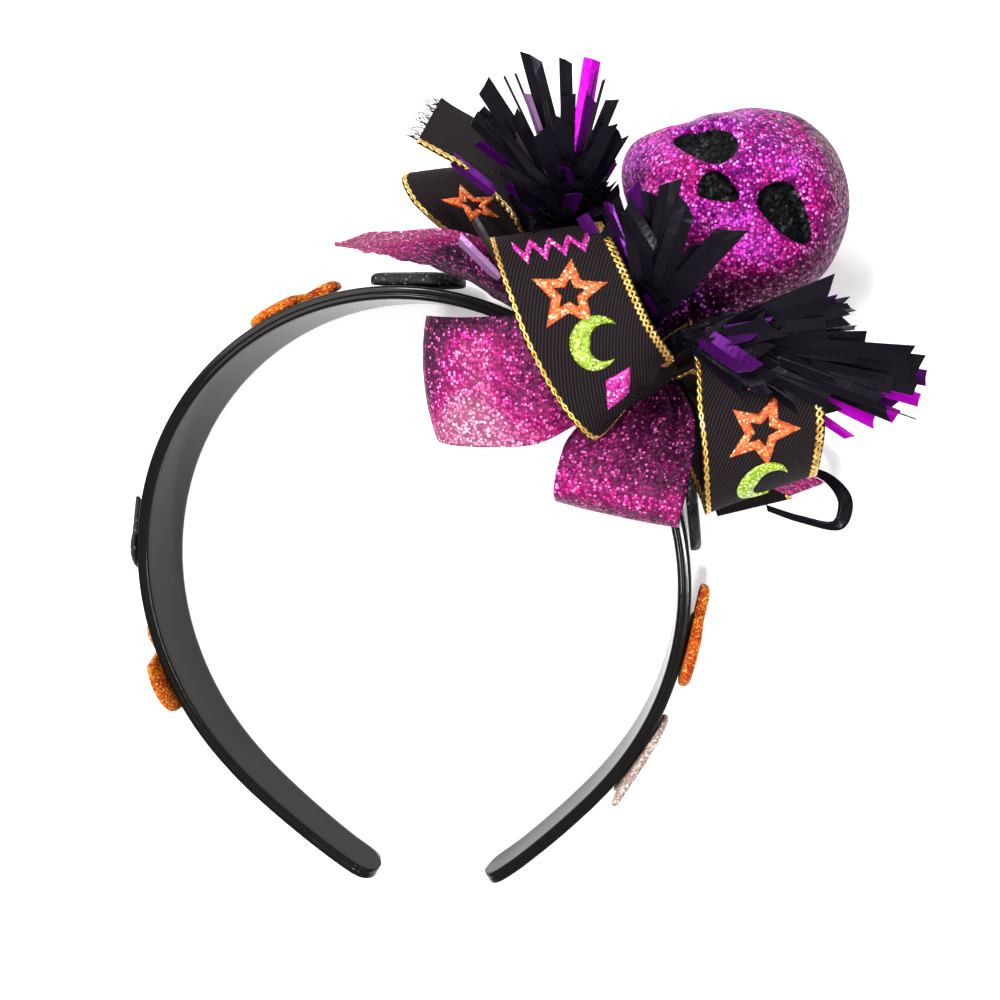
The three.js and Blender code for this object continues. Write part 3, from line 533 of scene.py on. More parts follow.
class Nodes:
    """Short calls that add and link shader nodes in one material."""

    def __init__(self, name):
        self.material = bpy.data.materials.new(name)
        self.material.use_nodes = True
        self.tree = self.material.node_tree
        self.shader = self.tree.nodes["Principled BSDF"]

    def node(self, kind, **settings):
        """A node of a kind, with its settings."""
        made = self.tree.nodes.new(kind)
        for key, value in settings.items():
            setattr(made, key, value)
        return made

    def link(self, source, target):
        """Links two sockets."""
        self.tree.links.new(source, target)

    def put(self, socket, value):
        """Links a socket into another, or sets a number or colour on it."""
        if isinstance(value, bpy.types.NodeSocket):
            self.link(value, socket)
        elif hasattr(value, "__len__") and len(value) == 3 and socket.type == "RGBA":
            socket.default_value = (*value, 1)
        else:
            socket.default_value = value

    def place(self, output="Object"):
        """A texture coordinate."""
        return self.node("ShaderNodeTexCoord").outputs[output]

    def mark(self, name):
        """A number kept on the mesh."""
        return self.node("ShaderNodeAttribute", attribute_name=name).outputs["Fac"]

    def maths(self, operation, *values):
        """A Math node."""
        made = self.node("ShaderNodeMath", operation=operation)
        for socket, value in zip(made.inputs, values):
            self.put(socket, value)
        return made.outputs[0]

    def mix(self, share, first, second):
        """A mix of two colours."""
        made = self.node("ShaderNodeMix", data_type="RGBA")
        self.put(made.inputs[0], share)
        self.put(made.inputs[6], first)
        self.put(made.inputs[7], second)
        return made.outputs[2]

    def noise(self, where, scale, detail=2.0):
        """Noise from 0 to 1."""
        made = self.node("ShaderNodeTexNoise")
        made.inputs["Scale"].default_value = scale
        made.inputs["Detail"].default_value = detail
        self.link(where, made.inputs["Vector"])
        return made.outputs["Fac"]

    def ramp(self, share, stops, steps=False):
        """A colour ramp with stops of place and colour."""
        made = self.node("ShaderNodeValToRGB")
        ramp = made.color_ramp
        ramp.interpolation = "CONSTANT" if steps else "LINEAR"
        while len(ramp.elements) < len(stops):
            ramp.elements.new(1)
        for element, (position, value) in zip(ramp.elements, stops):
            element.position = position
            element.color = (*value, 1)
        self.put(made.inputs[0], share)
        return made.outputs[0]

    def rising(self, share, low, high):
        """A share that goes from 0 to 1 between two values."""
        return self.ramp(share, ((low, (0,) * 3), (high, (1,) * 3)))

    def falling(self, share, low, high):
        """A share that goes from 1 to 0 between two values."""
        return self.ramp(share, ((low, (1,) * 3), (high, (0,) * 3)))

    def stir(self, value, noise, amount):
        """A value moved up and down by noise."""
        return self.maths("ADD", value, self.maths("MULTIPLY", self.maths("SUBTRACT", noise, 0.5), amount))

    def split(self, kind, source):
        """The three parts of a Color or an XYZ."""
        made = self.node(f"ShaderNodeSeparate{kind}")
        self.link(source, made.inputs[0])
        return made.outputs[:3]

    def flakes(self, where, cell):
        """Cells of glitter: a random colour for each cell, and the distance from its middle."""
        made = self.node("ShaderNodeTexVoronoi")
        made.inputs["Scale"].default_value = 1 / cell
        self.link(where, made.inputs["Vector"])
        return made.outputs["Color"], made.outputs["Distance"]

    def bump(self, height, strength, distance):
        """A normal with a bump on it."""
        made = self.node("ShaderNodeBump")
        made.inputs["Strength"].default_value = strength
        made.inputs["Distance"].default_value = distance
        self.link(height, made.inputs["Height"])
        return made.outputs["Normal"]

    def vector(self, operation, first, second=None):
        """A Vector Math node."""
        made = self.node("ShaderNodeVectorMath", operation=operation)
        self.put(made.inputs[0], first)
        if second is not None:
            self.put(made.inputs["Scale" if operation == "SCALE" else 1], second)
        return made.outputs[0]

    def tilt(self, normal, random, amount):
        """A normal thrown about by a random colour."""
        off = self.vector("SCALE", self.vector("SUBTRACT", random, (0.5, 0.5, 0.5)), amount)
        return self.vector("NORMALIZE", self.vector("ADD", normal, off))

    def finish(self, **inputs):
        """Sets the shader's sockets, spaces in their names written as underscores."""
        for key, value in inputs.items():
            self.put(self.shader.inputs[key.replace("_", " ")], value)
        return self.material


def scaled(value, share):
    """A colour made darker or lighter."""
    return tuple(min(1.0, part * share) for part in value)


def plastic_finish(colours):
    """Glossy black plastic with faint flow marks and fine scratches."""
    n = Nodes("glossy_plastic")
    where = n.place()
    flow = n.noise(where, 90, 3)
    return n.finish(
        Base_Color=n.mix(flow, tuple(colours.plastic), scaled(colours.plastic, 1.8)),
        Roughness=n.ramp(n.noise(where, 260, 4), ((0.3, (0.08,) * 3), (0.7, (0.15,) * 3))),
        Specular_IOR_Level=0.12,
        Normal=n.bump(flow, 0.08, 0.4 * MM),
    )


def sparkle(n, where, cell, body, dark, light, glint, amount):
    """Glitter on a ground between dark and body: each flake is by chance dark, body, light or glint.

    Flakes stand up from the ground and are tilted at random by the amount. The glint flakes are painted
    highlights, and the dark and light flakes are partly glitter of random tone and partly painted shade and
    painted light. Returns the colour, and a second random number for each flake.
    """
    random, distance = n.flakes(where, cell)
    chance, spare, _ = n.split("Color", random)
    shade = n.mix(n.falling(chance, 0.0, 0.35), body, dark)
    shade = n.mix(n.rising(chance, 0.55, 0.75), shade, light)
    # Painted highlight: a few flakes take the glint colour.
    shade = n.mix(n.rising(chance, 0.83, 0.87), shade, glint)
    flake = n.falling(distance, 0.42, 0.58)
    raised = n.bump(n.maths("SUBTRACT", 1, distance), 0.35, cell * 0.3)
    n.finish(Normal=n.tilt(raised, random, amount))
    return n.mix(flake, n.mix(0.22, dark, body), shade), spare


def sticker_finish(name, base, deep, warm, glint):
    """Fine glitter pressed into puffy foam, in clouds between a deep and a warm shade."""
    n = Nodes(f"puffy_{name}")
    where = n.place()
    body = n.ramp(n.noise(where, 240, 2), ((0.38, deep), (0.5, base), (0.64, warm)))
    shade, _ = sparkle(n, where, STICKER_FLAKE, body, scaled(base, 0.3), warm, glint, 0.6)
    return n.finish(Base_Color=shade, Roughness=0.5, Metallic=0.1, Specular_IOR_Level=0.12)


def black_sticker_finish(colours):
    """Black foam with sparse pale glints."""
    n = Nodes("puffy_black")
    random, distance = n.flakes(n.place(), BLACK_FLAKE)
    glint = n.rising(n.split("Color", random)[0], 0.955, 0.965)
    raised = n.bump(n.maths("SUBTRACT", 1, distance), 0.3, 0.1 * MM)
    return n.finish(
        Base_Color=n.mix(glint, tuple(colours.black), (0.16, 0.16, 0.18)),
        Roughness=0.5,
        Specular_IOR_Level=0.2,
        Normal=n.tilt(raised, random, 0.5),
    )


def glitter_ribbon_finish(colours):
    """Ribbon set with glitter, from plum through hot pink to pale by the shade kept on the mesh.

    Plum is painted shade, hot pink painted light and pale pink thin glitter; glints are painted highlights.
    """
    n = Nodes("glitter_ribbon")
    where = n.place("UV")
    shade = n.stir(n.mark("shade"), n.noise(where, 160, 3), 0.45)
    plum, pink, pale = tuple(colours.plum), tuple(colours.pink), tuple(colours.pale)
    body = n.ramp(shade, ((0.0, plum), (0.25, (0.14, 0.012, 0.07)), (0.55, pink), (1.0, pale)))
    # Flake colours follow the same shade: darker in painted shade, lighter in painted light, glints as
    # painted highlights.
    dark, light, glint = (
        n.ramp(shade, tuple(zip((0.0, 0.5, 1.0), values)))
        for values in (
            ((0.010, 0.002, 0.008), (0.10, 0.005, 0.05), (0.16, 0.03, 0.08)),
            ((0.14, 0.010, 0.08), (0.92, 0.03, 0.38), (0.76, 0.36, 0.48)),
            ((0.60, 0.08, 0.36), (1.0, 0.22, 0.66), (0.95, 0.58, 0.70)),
        )
    )
    flecked, _ = sparkle(n, where, RIBBON_FLAKE, body, dark, light, glint, 0.8)
    return n.finish(Base_Color=flecked, Roughness=0.45, Metallic=0.1, Specular_IOR_Level=0.1)


def twill_finish(colours):
    """Black twill: fine diagonal ribs on the ribbon's own map, with a faint cross thread and lint.

    The ribs' crests are painted lighter and their grooves darker, as painted light and shade.
    """
    n = Nodes("print_twill")
    where = n.place("UV")
    along, across, _ = n.split("XYZ", where)

    def ribs(slant, pitch):
        """A sine of the place along plus the slant times the place across, over the pitch."""
        place = n.maths("ADD", along, n.maths("MULTIPLY", across, slant))
        return n.maths("SINE", n.maths("MULTIPLY", place, 2 * np.pi / pitch))

    diagonal = n.maths("MULTIPLY", ribs(1.7, RIB_PITCH), 0.42)
    cross = n.maths("MULTIPLY", ribs(-0.6, THREAD_PITCH), 0.08)
    height = n.maths("ADD", n.maths("ADD", diagonal, cross), 0.5)
    twill = tuple(colours.twill)
    # Painted light and shade of the ribs: crests lighter, grooves darker.
    shade = n.ramp(height, ((0.2, scaled(twill, 0.2)), (0.6, twill), (1.0, scaled(twill, 3.2))))
    return n.finish(
        Base_Color=n.mix(n.maths("MULTIPLY", n.noise(where, 900, 2), 0.3), shade, twill),
        Roughness=0.8,
        Specular_IOR_Level=0.12,
        Normal=n.bump(height, 0.5, 0.25 * MM),
    )


def gold_finish(colours):
    """Metallic braid, a little tarnished in its hollows."""
    n = Nodes("gold_braid")
    cloud = n.noise(n.place(), 700, 2)
    gold = tuple(colours.gold)
    shade = n.ramp(cloud, ((0.3, scaled(gold, 0.45)), (0.55, gold), (0.75, (0.95, 0.74, 0.36))))
    return n.finish(Base_Color=shade, Roughness=0.3, Metallic=0.85, Normal=n.bump(cloud, 0.4, 0.2 * MM))


def motif_finish(colours):
    """Coarse glitter in magenta, orange and green, chosen by the number kept on the mesh."""
    n = Nodes("motif_glitter")
    dye = n.mark("dye")
    body = ((0.66, 0.01, 0.36), (0.86, 0.13, 0.02), tuple(colours.green))
    dark = tuple(scaled(value, share) for value, share in zip(body, (0.4, 0.45, 0.4)))
    light = ((0.95, 0.15, 0.6), (1.0, 0.32, 0.08), (0.66, 0.86, 0.12))
    # The glint colours are painted highlights on a few flakes.
    glint = ((1, 0.6, 0.85), (1, 0.72, 0.4), (0.9, 1.0, 0.5))
    ramps = [n.ramp(dye, tuple(zip((0.0, 0.3, 0.7), row)), steps=True) for row in (body, dark, light, glint)]
    shade, _ = sparkle(n, n.place(), MOTIF_FLAKE, *ramps, 0.6)
    return n.finish(Base_Color=shade, Roughness=0.35, Metallic=0.2)


def foil_finish(colours):
    """Crinkled foil strips, black, smoky, violet, magenta or lilac by the tone kept on the mesh."""
    n = Nodes("tinsel_foil")
    tone = n.mark("tone")
    black, smoky, lilac = (0.004, 0.003, 0.006), (0.024, 0.016, 0.019), (0.26, 0.13, 0.28)
    shades = (black, smoky, tuple(colours.violet), tuple(colours.magenta), lilac)
    return n.finish(
        Base_Color=n.ramp(tone, tuple(zip((0.0, 0.15, 0.4, 0.65, 0.9), shades)), steps=True),
        Roughness=0.26,
        Metallic=n.ramp(tone, ((0.0, (0.0,) * 3), (0.4, (0.5,) * 3)), steps=True),
        Specular_IOR_Level=0.09,
        Normal=n.bump(n.noise(n.place("UV"), 420, 3), 0.35, 0.3 * MM),
    )


def skull_finish(_):
    """Chunky violet and pink glitter in painted light and shade: lighter on the cheek and brow, dusky on the
    shaded side and deepest under the jaw, with black sockets full of fine painted glints.
    """
    n = Nodes("skull_glitter")
    where = n.place()
    cloud = n.noise(where, 120, 3)
    warm = n.rising(n.noise(where, 75, 2), 0.42, 0.62)
    # The number kept on the mesh is painted light and shade: under 0.12 the cheek and brow turn to painted
    # light, from 0.15 the flank to painted shade and from 0.6 the jaw to deep painted shade.
    dusk = n.stir(n.mark("dusk"), cloud, 0.5)
    lit, painted_side_shade, deep = n.falling(dusk, 0.0, 0.12), n.rising(dusk, 0.15, 0.55), n.rising(dusk, 0.6, 1.0)
    bright = n.mix(
        lit,
        n.mix(warm, (0.30, 0.004, 0.26), (0.50, 0.006, 0.18)),
        n.mix(warm, (0.74, 0.07, 0.74), (0.84, 0.03, 0.44)),
    )
    brighter = n.mix(warm, (0.84, 0.08, 0.78), (0.98, 0.05, 0.46))
    # Flake colours in painted light, painted shade and deep painted shade; the last row is the painted glint.
    body, dark, light, glint = (
        n.mix(deep, n.mix(painted_side_shade, in_light, in_shade), in_dark)
        for in_light, in_shade, in_dark in (
            (bright, (0.11, 0.006, 0.058), (0.018, 0.001, 0.024)),
            ((0.030, 0.0005, 0.045), (0.035, 0.002, 0.026), (0.003, 0.0005, 0.005)),
            (brighter, (0.21, 0.02, 0.125), (0.20, 0.006, 0.27)),
            ((1.0, 0.30, 0.90), (0.48, 0.13, 0.33), (0.70, 0.14, 0.80)),
        )
    )
    shade, chance = sparkle(n, where, SKULL_FLAKE, body, dark, light, glint, 0.9)
    fine = n.ramp(chance, ((0.92, (0.0008, 0.001, 0.0014)), (0.98, (0.035, 0.038, 0.046))))
    flecked = n.mix(n.rising(n.mark("socket"), 0.42, 0.58), shade, fine)
    return n.finish(Base_Color=flecked, Roughness=0.45, Metallic=0.1, Specular_IOR_Level=0.08)


class Finishes:
    """The materials, made once and shared by the operators."""

    made = {}
    makers = {
        "plastic": plastic_finish,
        "black": black_sticker_finish,
        "glitter": glitter_ribbon_finish,
        "twill": twill_finish,
        "gold": gold_finish,
        "motif": motif_finish,
        "foil": foil_finish,
        "skull": skull_finish,
    }

    @classmethod
    def get(cls, name):
        """A material by its plain name."""
        if name not in cls.made:
            colours = bpy.context.scene.headband_colours
            if name in STICKER_GLITTER:
                cls.made[name] = sticker_finish(name, tuple(getattr(colours, name)), *STICKER_GLITTER[name])
            else:
                cls.made[name] = cls.makers[name](colours)
        return cls.made[name]


def band_surface(sizes):
    """A rounded section carried along the arch, its height closing on a half circle at each tip.

    The section goes round the wall's four corner arcs. Its upper edge has one shallow groove.
    """
    half_length = float(arch(sizes, 0.0)["half_length"])
    round_end = sizes.tip_width / 2
    tip_angle = np.radians(np.linspace(4, 88, TIP_STATIONS))
    inset = round_end * (1 - np.cos(tip_angle))
    middle = np.linspace(-half_length + round_end, half_length - round_end, BAND_STATIONS)
    station = np.concatenate([inset - half_length, middle, (half_length - inset)[::-1]])
    here = arch(sizes, station)
    inward = np.maximum(round_end - (half_length - np.abs(station)), 0)
    end_half = np.sqrt(np.maximum(round_end**2 - inward**2, 1e-12))
    half = np.where(inward > 0, end_half, here["width"] / 2)[:, None]
    edge = np.minimum(sizes.band_edge, half * 0.6)
    wall = sizes.band_thickness
    angle = np.radians(np.linspace(0, 90, CORNER_POINTS))
    sine, cosine = np.sin(angle), np.cos(angle)
    one, zero = np.ones(CORNER_POINTS), np.zeros(CORNER_POINTS)
    flat = np.linspace(0.85, -0.85, FACE_POINTS)
    rim = np.linspace(0.9, 0.1, FACE_POINTS)
    groove = -GROOVE_DEPTH * np.exp(-(((rim - GROOVE_PLACE) / GROOVE_SPREAD) ** 2))
    blank = np.zeros(FACE_POINTS)
    base = np.concatenate([zero, blank, zero, wall * one, wall + blank, wall * one, wall * rim])
    base_edge = np.concatenate([1 - sine, blank, 1 - cosine, sine - 1, blank, cosine - 1, 1 - 2 * rim])
    rise = np.concatenate([one, flat, -one, -one, -flat, one, blank + 1])
    rise_edge = np.concatenate([cosine, blank, -sine, -cosine, blank, sine, blank + 1])
    dip = np.concatenate([zero, blank, zero, zero, blank, zero, groove])
    deep = base + edge * base_edge
    high = rise * (half - edge) + edge * rise_edge + dip * np.minimum(1, half / round_end)
    return (
        here["point"][:, None, :]
        - deep[..., None] * here["normal"][:, None, :]
        + (here["width"][:, None] / 2 + high)[..., None] * here["across"]
    )


def arc_of_ellipse(x, y, across_x, across_y, start, end, count):
    """Points of an ellipse between two angles in degrees."""
    angle = np.radians(np.linspace(start, end, count))
    return np.stack([x + across_x * np.cos(angle), y + across_y * np.sin(angle)], -1)


def line_of(*corners, count=8):
    """Points along straight sides."""
    share = np.linspace(0, 1, count, endpoint=False)[:, None]
    corners = [np.array(corner) for corner in corners]
    return np.vstack([p + share * (q - p) for p, q in zip(corners, corners[1:])])


def sticker_outline(kind):
    """A sticker's outline: first coordinate towards the apex, second across the band."""
    if kind == "pumpkin":
        tall, wide, stem, long = 8.25 * MM, 9.5 * MM, 3.4 * MM, 6 * MM
        body = np.vstack([
            arc_of_ellipse(0, wide * 0.45, tall, wide * 0.55, 50, 180, 40),
            arc_of_ellipse(0, -wide * 0.45, tall, wide * 0.55, 180, 310, 40),
        ])
        neck = line_of(
            (tall * 0.93, -stem / 2), (tall + long * 0.8, -stem * 0.75), (tall + long, -stem * 0.55),
            (tall + long, stem * 0.1), (tall + long * 0.75, stem * 0.25), (tall * 0.93, stem / 2),
        )
        return np.vstack([body, neck])
    if kind == "cat":
        tall, wide, ear = 8 * MM, 9 * MM, 4 * MM
        head = arc_of_ellipse(0, 0, tall, wide, 68, 292, 80)
        ears = line_of(
            head[-1], (tall + ear, -wide * 0.85), (tall * 0.95, -wide * 0.3),
            (tall * 0.95, wide * 0.3), (tall + ear, wide * 0.85), head[0],
        )
        return np.vstack([head, ears])
    tall, wide = 11.5 * MM, 8 * MM
    t = np.linspace(0, 1, 24)[:, None]

    def bow(p, q, r):
        """A parabola from p to r that leans to q."""
        return (1 - t) ** 2 * np.array(p) + 2 * t * (1 - t) * np.array(q) + t**2 * np.array(r)

    return np.vstack([
        bow((-tall, -wide), (tall * 0.2, -wide * 0.9), (tall * 0.4, -wide * 0.7)),
        bow((tall * 0.4, -wide * 0.7), (tall * 1.5, 0), (tall * 0.4, wide * 0.7)),
        bow((tall * 0.4, wide * 0.7), (tall * 0.2, wide * 0.9), (-tall, wide)),
        line_of(
            (-tall, wide), (-tall * 0.75, wide / 3), (-tall, 0), (-tall * 0.75, -wide / 3), (-tall, -wide),
        ),
    ])


def sticker_surface(sizes, kind, at, tilt, thick):
    """A puffy pad: the outline shrunk to its middle ring by ring while the height rises to a round shoulder.

    Pumpkins have rib grooves along them, and the others two small dents. The flat back stands just clear of
    the curved face at every point under it.
    """
    distance = at * float(arch(sizes, 0.0)["half_length"])
    here = arch(sizes, distance)
    outline = sticker_outline(kind)
    ring = np.array(PUFF_RINGS)
    flat = ring[:, 0, None, None] * outline[None]
    height = np.broadcast_to(ring[:, 1, None], flat.shape[:2]) * sizes.sticker_thickness * thick
    top = ring[:, 1, None] > 0.6
    tall, wide = flat[..., 0] / MM, flat[..., 1] / MM
    if kind == "pumpkin":
        ribs = sum(np.exp(-(((wide - place) / 0.5) ** 2)) for place in PUMPKIN_RIBS)
        dents = 0.30 * ribs * np.exp(-((tall / 8) ** 4))
    else:
        dents = 0.4 * sum(
            np.exp(-(((tall - 1.5) / 1.3) ** 2) - ((wide - place) / 1.1) ** 2) for place in DENTS
        )
    height = height - np.where(top, dents * MM, 0)
    side = -1.0 if distance < 0 else 1.0
    slope = np.tan(np.radians(tilt))
    reach = outline[:, 0].max()
    half_wide = outline[:, 1].max()
    step = np.linspace(-1, 1, 13)
    there = arch(sizes, distance + reach * step)["point"] - here["point"]
    rise = there @ here["normal"]
    run = np.abs(there @ here["tangent"]) * np.sign(step) * -side
    stand = np.max(rise - run * slope) + sizes.clearance
    along = unit(here["tangent"] * -side + here["normal"] * slope)
    up = here["across"].copy()
    out = np.cross(along, up)
    if out @ here["normal"] < 0:
        up, out = -up, -out
    place = (
        here["point"] + here["normal"] * stand
        + here["across"] * max(float(here["width"]) / 2, half_wide + sizes.clearance)
    )
    return place + flat[..., :1] * along + flat[..., 1:] * up + height[..., None] * out


def knot_foot():
    """The arch under the knot, and the knot's middle in the plane."""
    sizes, bow = bpy.context.scene.headband_sizes, bpy.context.scene.bow_sizes
    foot = arch(sizes, bow.bow_at)
    return foot, foot["point"] + foot["normal"] * (sizes.clearance + KNOT_DEPTH / 2)


def in_knot(share):
    """A point on the knot's middle line at a share of its height."""
    middle = knot_foot()[1]
    return np.array([middle[0], middle[1], KNOT_LOW.z + share * (KNOT_HIGH.z - KNOT_LOW.z)])


def in_bow(places):
    """Places given as right, up and front in bow reaches from the knot, at the band's upper edge."""
    sizes, bow = bpy.context.scene.headband_sizes, bpy.context.scene.bow_sizes
    middle = knot_foot()[1]
    return np.array([middle[0], middle[1], sizes.band_width]) + np.array(places, float) * bow.reach


def toward(heading, slope):
    """A direction with a heading in the plane and a slope out of it, both in degrees."""
    heading, slope = np.radians(heading), np.radians(slope)
    return np.stack([np.cos(heading) * np.cos(slope), np.sin(heading) * np.cos(slope), np.sin(slope)], -1)


class Ribbon:
    """A ribbon: a middle line, and the heading, slope and share of its width along it."""

    def __init__(self, width, rows, start=None, end=None, pleats=3, phase=0.0, belly=0.0):
        rows = np.array(rows, float)
        points, spread = in_bow(rows[:, :3]), rows[:, 3:]
        if start is not None:
            points = np.vstack([in_knot(start), points])
            spread = np.vstack([[*spread[0, :2], PINCH], spread])
        if end is not None:
            points = np.vstack([points, in_knot(end)])
            spread = np.vstack([spread, [*spread[-1, :2], PINCH]])
        self.width = width
        self.points = points
        self.spread = spread
        self.pleats = pleats
        self.phase = phase
        self.belly = belly
        self.free = end is None
        self.fine = np.linspace(0, 1, 401)
        line = smooth(points, self.fine)
        self.travel = np.concatenate([[0], np.cumsum(np.linalg.norm(np.diff(line, axis=0), axis=1))])
        self.length = float(self.travel[-1])
        middle = smooth(points, np.array([0.5]))
        ahead = smooth(points, np.array([0.501])) - middle
        side = toward(*smooth(spread, np.array([0.5]), SPREAD_TENSION)[0, :2])
        self.outward = float(np.sign(np.sum(np.cross(side, ahead) * (middle - points.mean(axis=0)))))

    def at(self, share, over):
        """Points and normals at shares of the row count along and of the half width across.

        A point is the middle line plus the width's direction times its place across. Where the ribbon is
        gathered, pleats as deep as the lost width needs swing it out along its normal, and a free end has
        none. A bellied ribbon's edges curl in by the belly times the square of the place across.
        """
        share, over = np.broadcast_arrays(np.asarray(share, float), np.asarray(over, float))
        line = smooth(self.points, share)
        heading, slope, wide = np.moveaxis(smooth(self.spread, share, SPREAD_TENSION), -1, 0)
        side = toward(heading, slope)
        normal = unit(np.cross(side, heading_of(self.points, share)))
        wide = np.clip(wide, 0.05, 1.0)
        pitch = wide * self.width / self.pleats
        depth = np.minimum(pitch / np.pi * np.sqrt(np.maximum(1 / wide - 1, 0)), PLEAT_LIMIT)
        if self.free:
            depth = depth * np.clip((0.8 - share) / 0.3, 0, 1)
        pleat = depth * np.sin(np.pi * self.pleats * over + self.phase)
        curl = self.belly * self.outward * over**2 * np.sin(np.pi * share)
        ripple = RIPPLE * np.sin(over * 2.3 + share * 31 + self.phase) * (0.3 + np.abs(over))
        offset = (pleat + ripple - curl)[..., None] * normal
        return line + (over * wide * self.width / 2)[..., None] * side + offset, normal, side

    def share(self, distance):
        """The share of the row count at a distance along the middle line."""
        return np.interp(distance, self.travel, self.fine)

    def sheet(self, rows=180, columns=33, torn=0.0):
        """The whole ribbon as a grid, with its map in metres and its shares along and across.

        A torn ribbon's lower edge is drawn in by sums of saw waves that grow towards the end.
        """
        distance = np.linspace(0, 1, rows)[:, None] * self.length
        share = self.share(distance)
        over = np.linspace(-1, 1, columns)[None, :]
        saw = 0.6 * np.abs((share * 7.3) % 1 - 0.5) + 0.4 * np.abs((share * 17.1 + 0.3) % 1 - 0.5)
        tear = torn * np.clip((share - 0.35) / 0.5, 0, 1) * (0.35 + 1.3 * saw)
        share, over = np.broadcast_arrays(share, np.where(over < 0, over * (1 - tear), over))
        points, _, _ = self.at(share, over)
        chart = np.stack(np.broadcast_arrays(distance, over * self.width / 2), -1)
        return points, chart, share, over


def painted_light_and_thin_glitter(name, share, over):
    """A weighted mean of the shades in the table, each weight a bell along and across the ribbon."""
    total = np.full(share.shape, 1e-3)
    value = np.full(share.shape, 1e-3 * 0.4)
    for at, place, long, wide, shade in PAINTED_LIGHT_AND_THIN_GLITTER[name]:
        weight = np.exp(-(((share - at) / long) ** 2) - ((over - place) / wide) ** 2)
        total = total + weight
        value = value + weight * shade
    return value / total


def tube(line, first, second, out, up):
    """A section carried along a line: the line plus two directions times the section's two coordinates."""
    return line[:, None, :] + out[..., None] * first[..., None, :] + up[..., None] * second[..., None, :]


def braid(skin, ribbon, side, swing, wire, pitch):
    """Two wires that swing against each other along an edge, so that they enclose a chain of dark eyes.

    Each wire's middle is the edge less a margin, plus the swing times the sine of the distance over the
    pitch.
    """
    end = 1.0 if ribbon.free else BRAID_END
    count = int(ribbon.length * (end - BRAID_START) / pitch) * 8
    distance = np.linspace(BRAID_START, end, count) * ribbon.length
    share = ribbon.share(distance)
    angle = np.linspace(0, 2 * np.pi, 6, endpoint=False)
    for phase in (0, np.pi):
        sway = swing * np.sin(2 * np.pi * distance / pitch + phase)
        over = side * (1 - 2 * (swing + wire + sway) / ribbon.width)
        points, normal, across = ribbon.at(share, over)
        ring = tube(points, across, normal, wire * np.cos(angle), wire * 1.3 * np.sin(angle))
        skin.add(ring, wrap=True, cap=True)


def fray(skin, ribbon, seed):
    """Loose threads at a ribbon's cut end.

    Each leaves along the ribbon and bends aside with the square of its run.
    """
    random = np.random.default_rng(seed)
    share = np.linspace(0, 1, 8)[:, None]
    angle = np.linspace(0, 2 * np.pi, 5, endpoint=False)
    for _ in range(THREADS):
        over = random.uniform(-0.97, 0.97)
        foot, normal, across = (part.reshape(3) for part in ribbon.at(0.995, over))
        ahead = unit(np.cross(normal, across))
        back = ribbon.at(0.97, over)[0].reshape(3)
        ahead = ahead if ahead @ (foot - back) > 0 else -ahead
        long = THREAD_LENGTH * random.uniform(0.3, 1.0)
        lean = random.normal(0, 0.35) * across + random.normal(0, 0.25) * normal
        bend = random.normal(0, 0.5) * across + random.normal(0, 0.3) * normal
        middle = foot + long * (share * unit(ahead + lean) + share**2 * bend)
        ring = tube(middle, across, normal, THREAD_RADIUS * np.cos(angle), THREAD_RADIUS * np.sin(angle))
        skin.add(ring, wrap=True, cap=True)


def motif_patch(kind, size):
    """A motif as a grid of flat points, the height share of each, and whether the grid closes on itself.

    A zigzag is a triangle wave. The others are rings between two radii for each angle: a star's outer radius
    is the straight line from a tip to a valley, a diamond's is one over a sum of the sine and cosine, and a
    crescent's ring thins with the sine of the sweep.
    """
    t = np.linspace(0, 1, MOTIF_ROWS)[:, None]
    if kind == "zigzag":
        turns = np.linspace(0, 1, 49)[None, :]
        wave = size * 0.15 * (4 * np.abs((turns * 4) % 1 - 0.5) - 1)
        x, y = np.broadcast_arrays((turns - 0.5) * size * 1.1, wave + (t - 0.5) * size * 0.2)
        return np.stack([x, y], -1), np.sin(np.pi * t) + 0 * x, False
    angle = np.linspace(0, 2 * np.pi, MOTIF_COLUMNS, endpoint=False)[None, :]
    if kind == "star":
        half_beam = np.pi / 5
        from_tip = np.abs((angle + half_beam) % (2 * half_beam) - half_beam)
        tip, valley = size * 0.58, size * 0.27
        slant = tip * np.sin(from_tip) + valley * np.sin(half_beam - from_tip)
        outer = tip * valley * np.sin(half_beam) / slant
        inner = outer * 0.42
    elif kind == "diamond":
        outer = size * 0.50 / (np.abs(np.cos(angle)) * 1.35 + np.abs(np.sin(angle)) * 0.85)
        inner = outer * 0.04
    else:
        angle = np.linspace(np.radians(42), np.radians(318), MOTIF_COLUMNS)[None, :]
        shrink = np.sin((angle - angle[0, 0]) / (angle[0, -1] - angle[0, 0]) * np.pi)
        outer = size * 0.46
        inner = outer - size * (0.02 + 0.34 * shrink)
    radius = inner + (outer - inner) * t
    points = np.stack([radius * np.cos(angle), radius * np.sin(angle)], -1)
    return points, np.sin(np.pi * t) + 0 * radius, kind != "crescent"


def motif(skin, ribbon, facing, kind, at, over, size, turn, dye):
    """Lays a motif on a ribbon: its points become distances along and across, raised in its middle."""
    flat, swell, wrap = motif_patch(kind, size * MM)
    cosine, sine = np.cos(np.radians(turn)), np.sin(np.radians(turn))
    x = flat[..., 0] * cosine - flat[..., 1] * sine
    y = flat[..., 0] * sine + flat[..., 1] * cosine
    distance = np.interp(at, ribbon.fine, ribbon.travel) + x
    place = over + 2 * y / ribbon.width
    points, normal, _ = ribbon.at(ribbon.share(distance), np.clip(place, -0.84, 0.84))
    base = bpy.context.scene.bow_sizes.ribbon_thickness / 2
    lift = facing * (base + MOTIF_RIM + MOTIF_SWELL * swell)
    top = points + lift[..., None] * normal
    bottom = points + facing * (base - MOTIF_SINK) * normal
    closed = np.vstack([bottom[:1], top, bottom[-1:]])
    skin.add(closed, wrap=wrap, dye=dye)


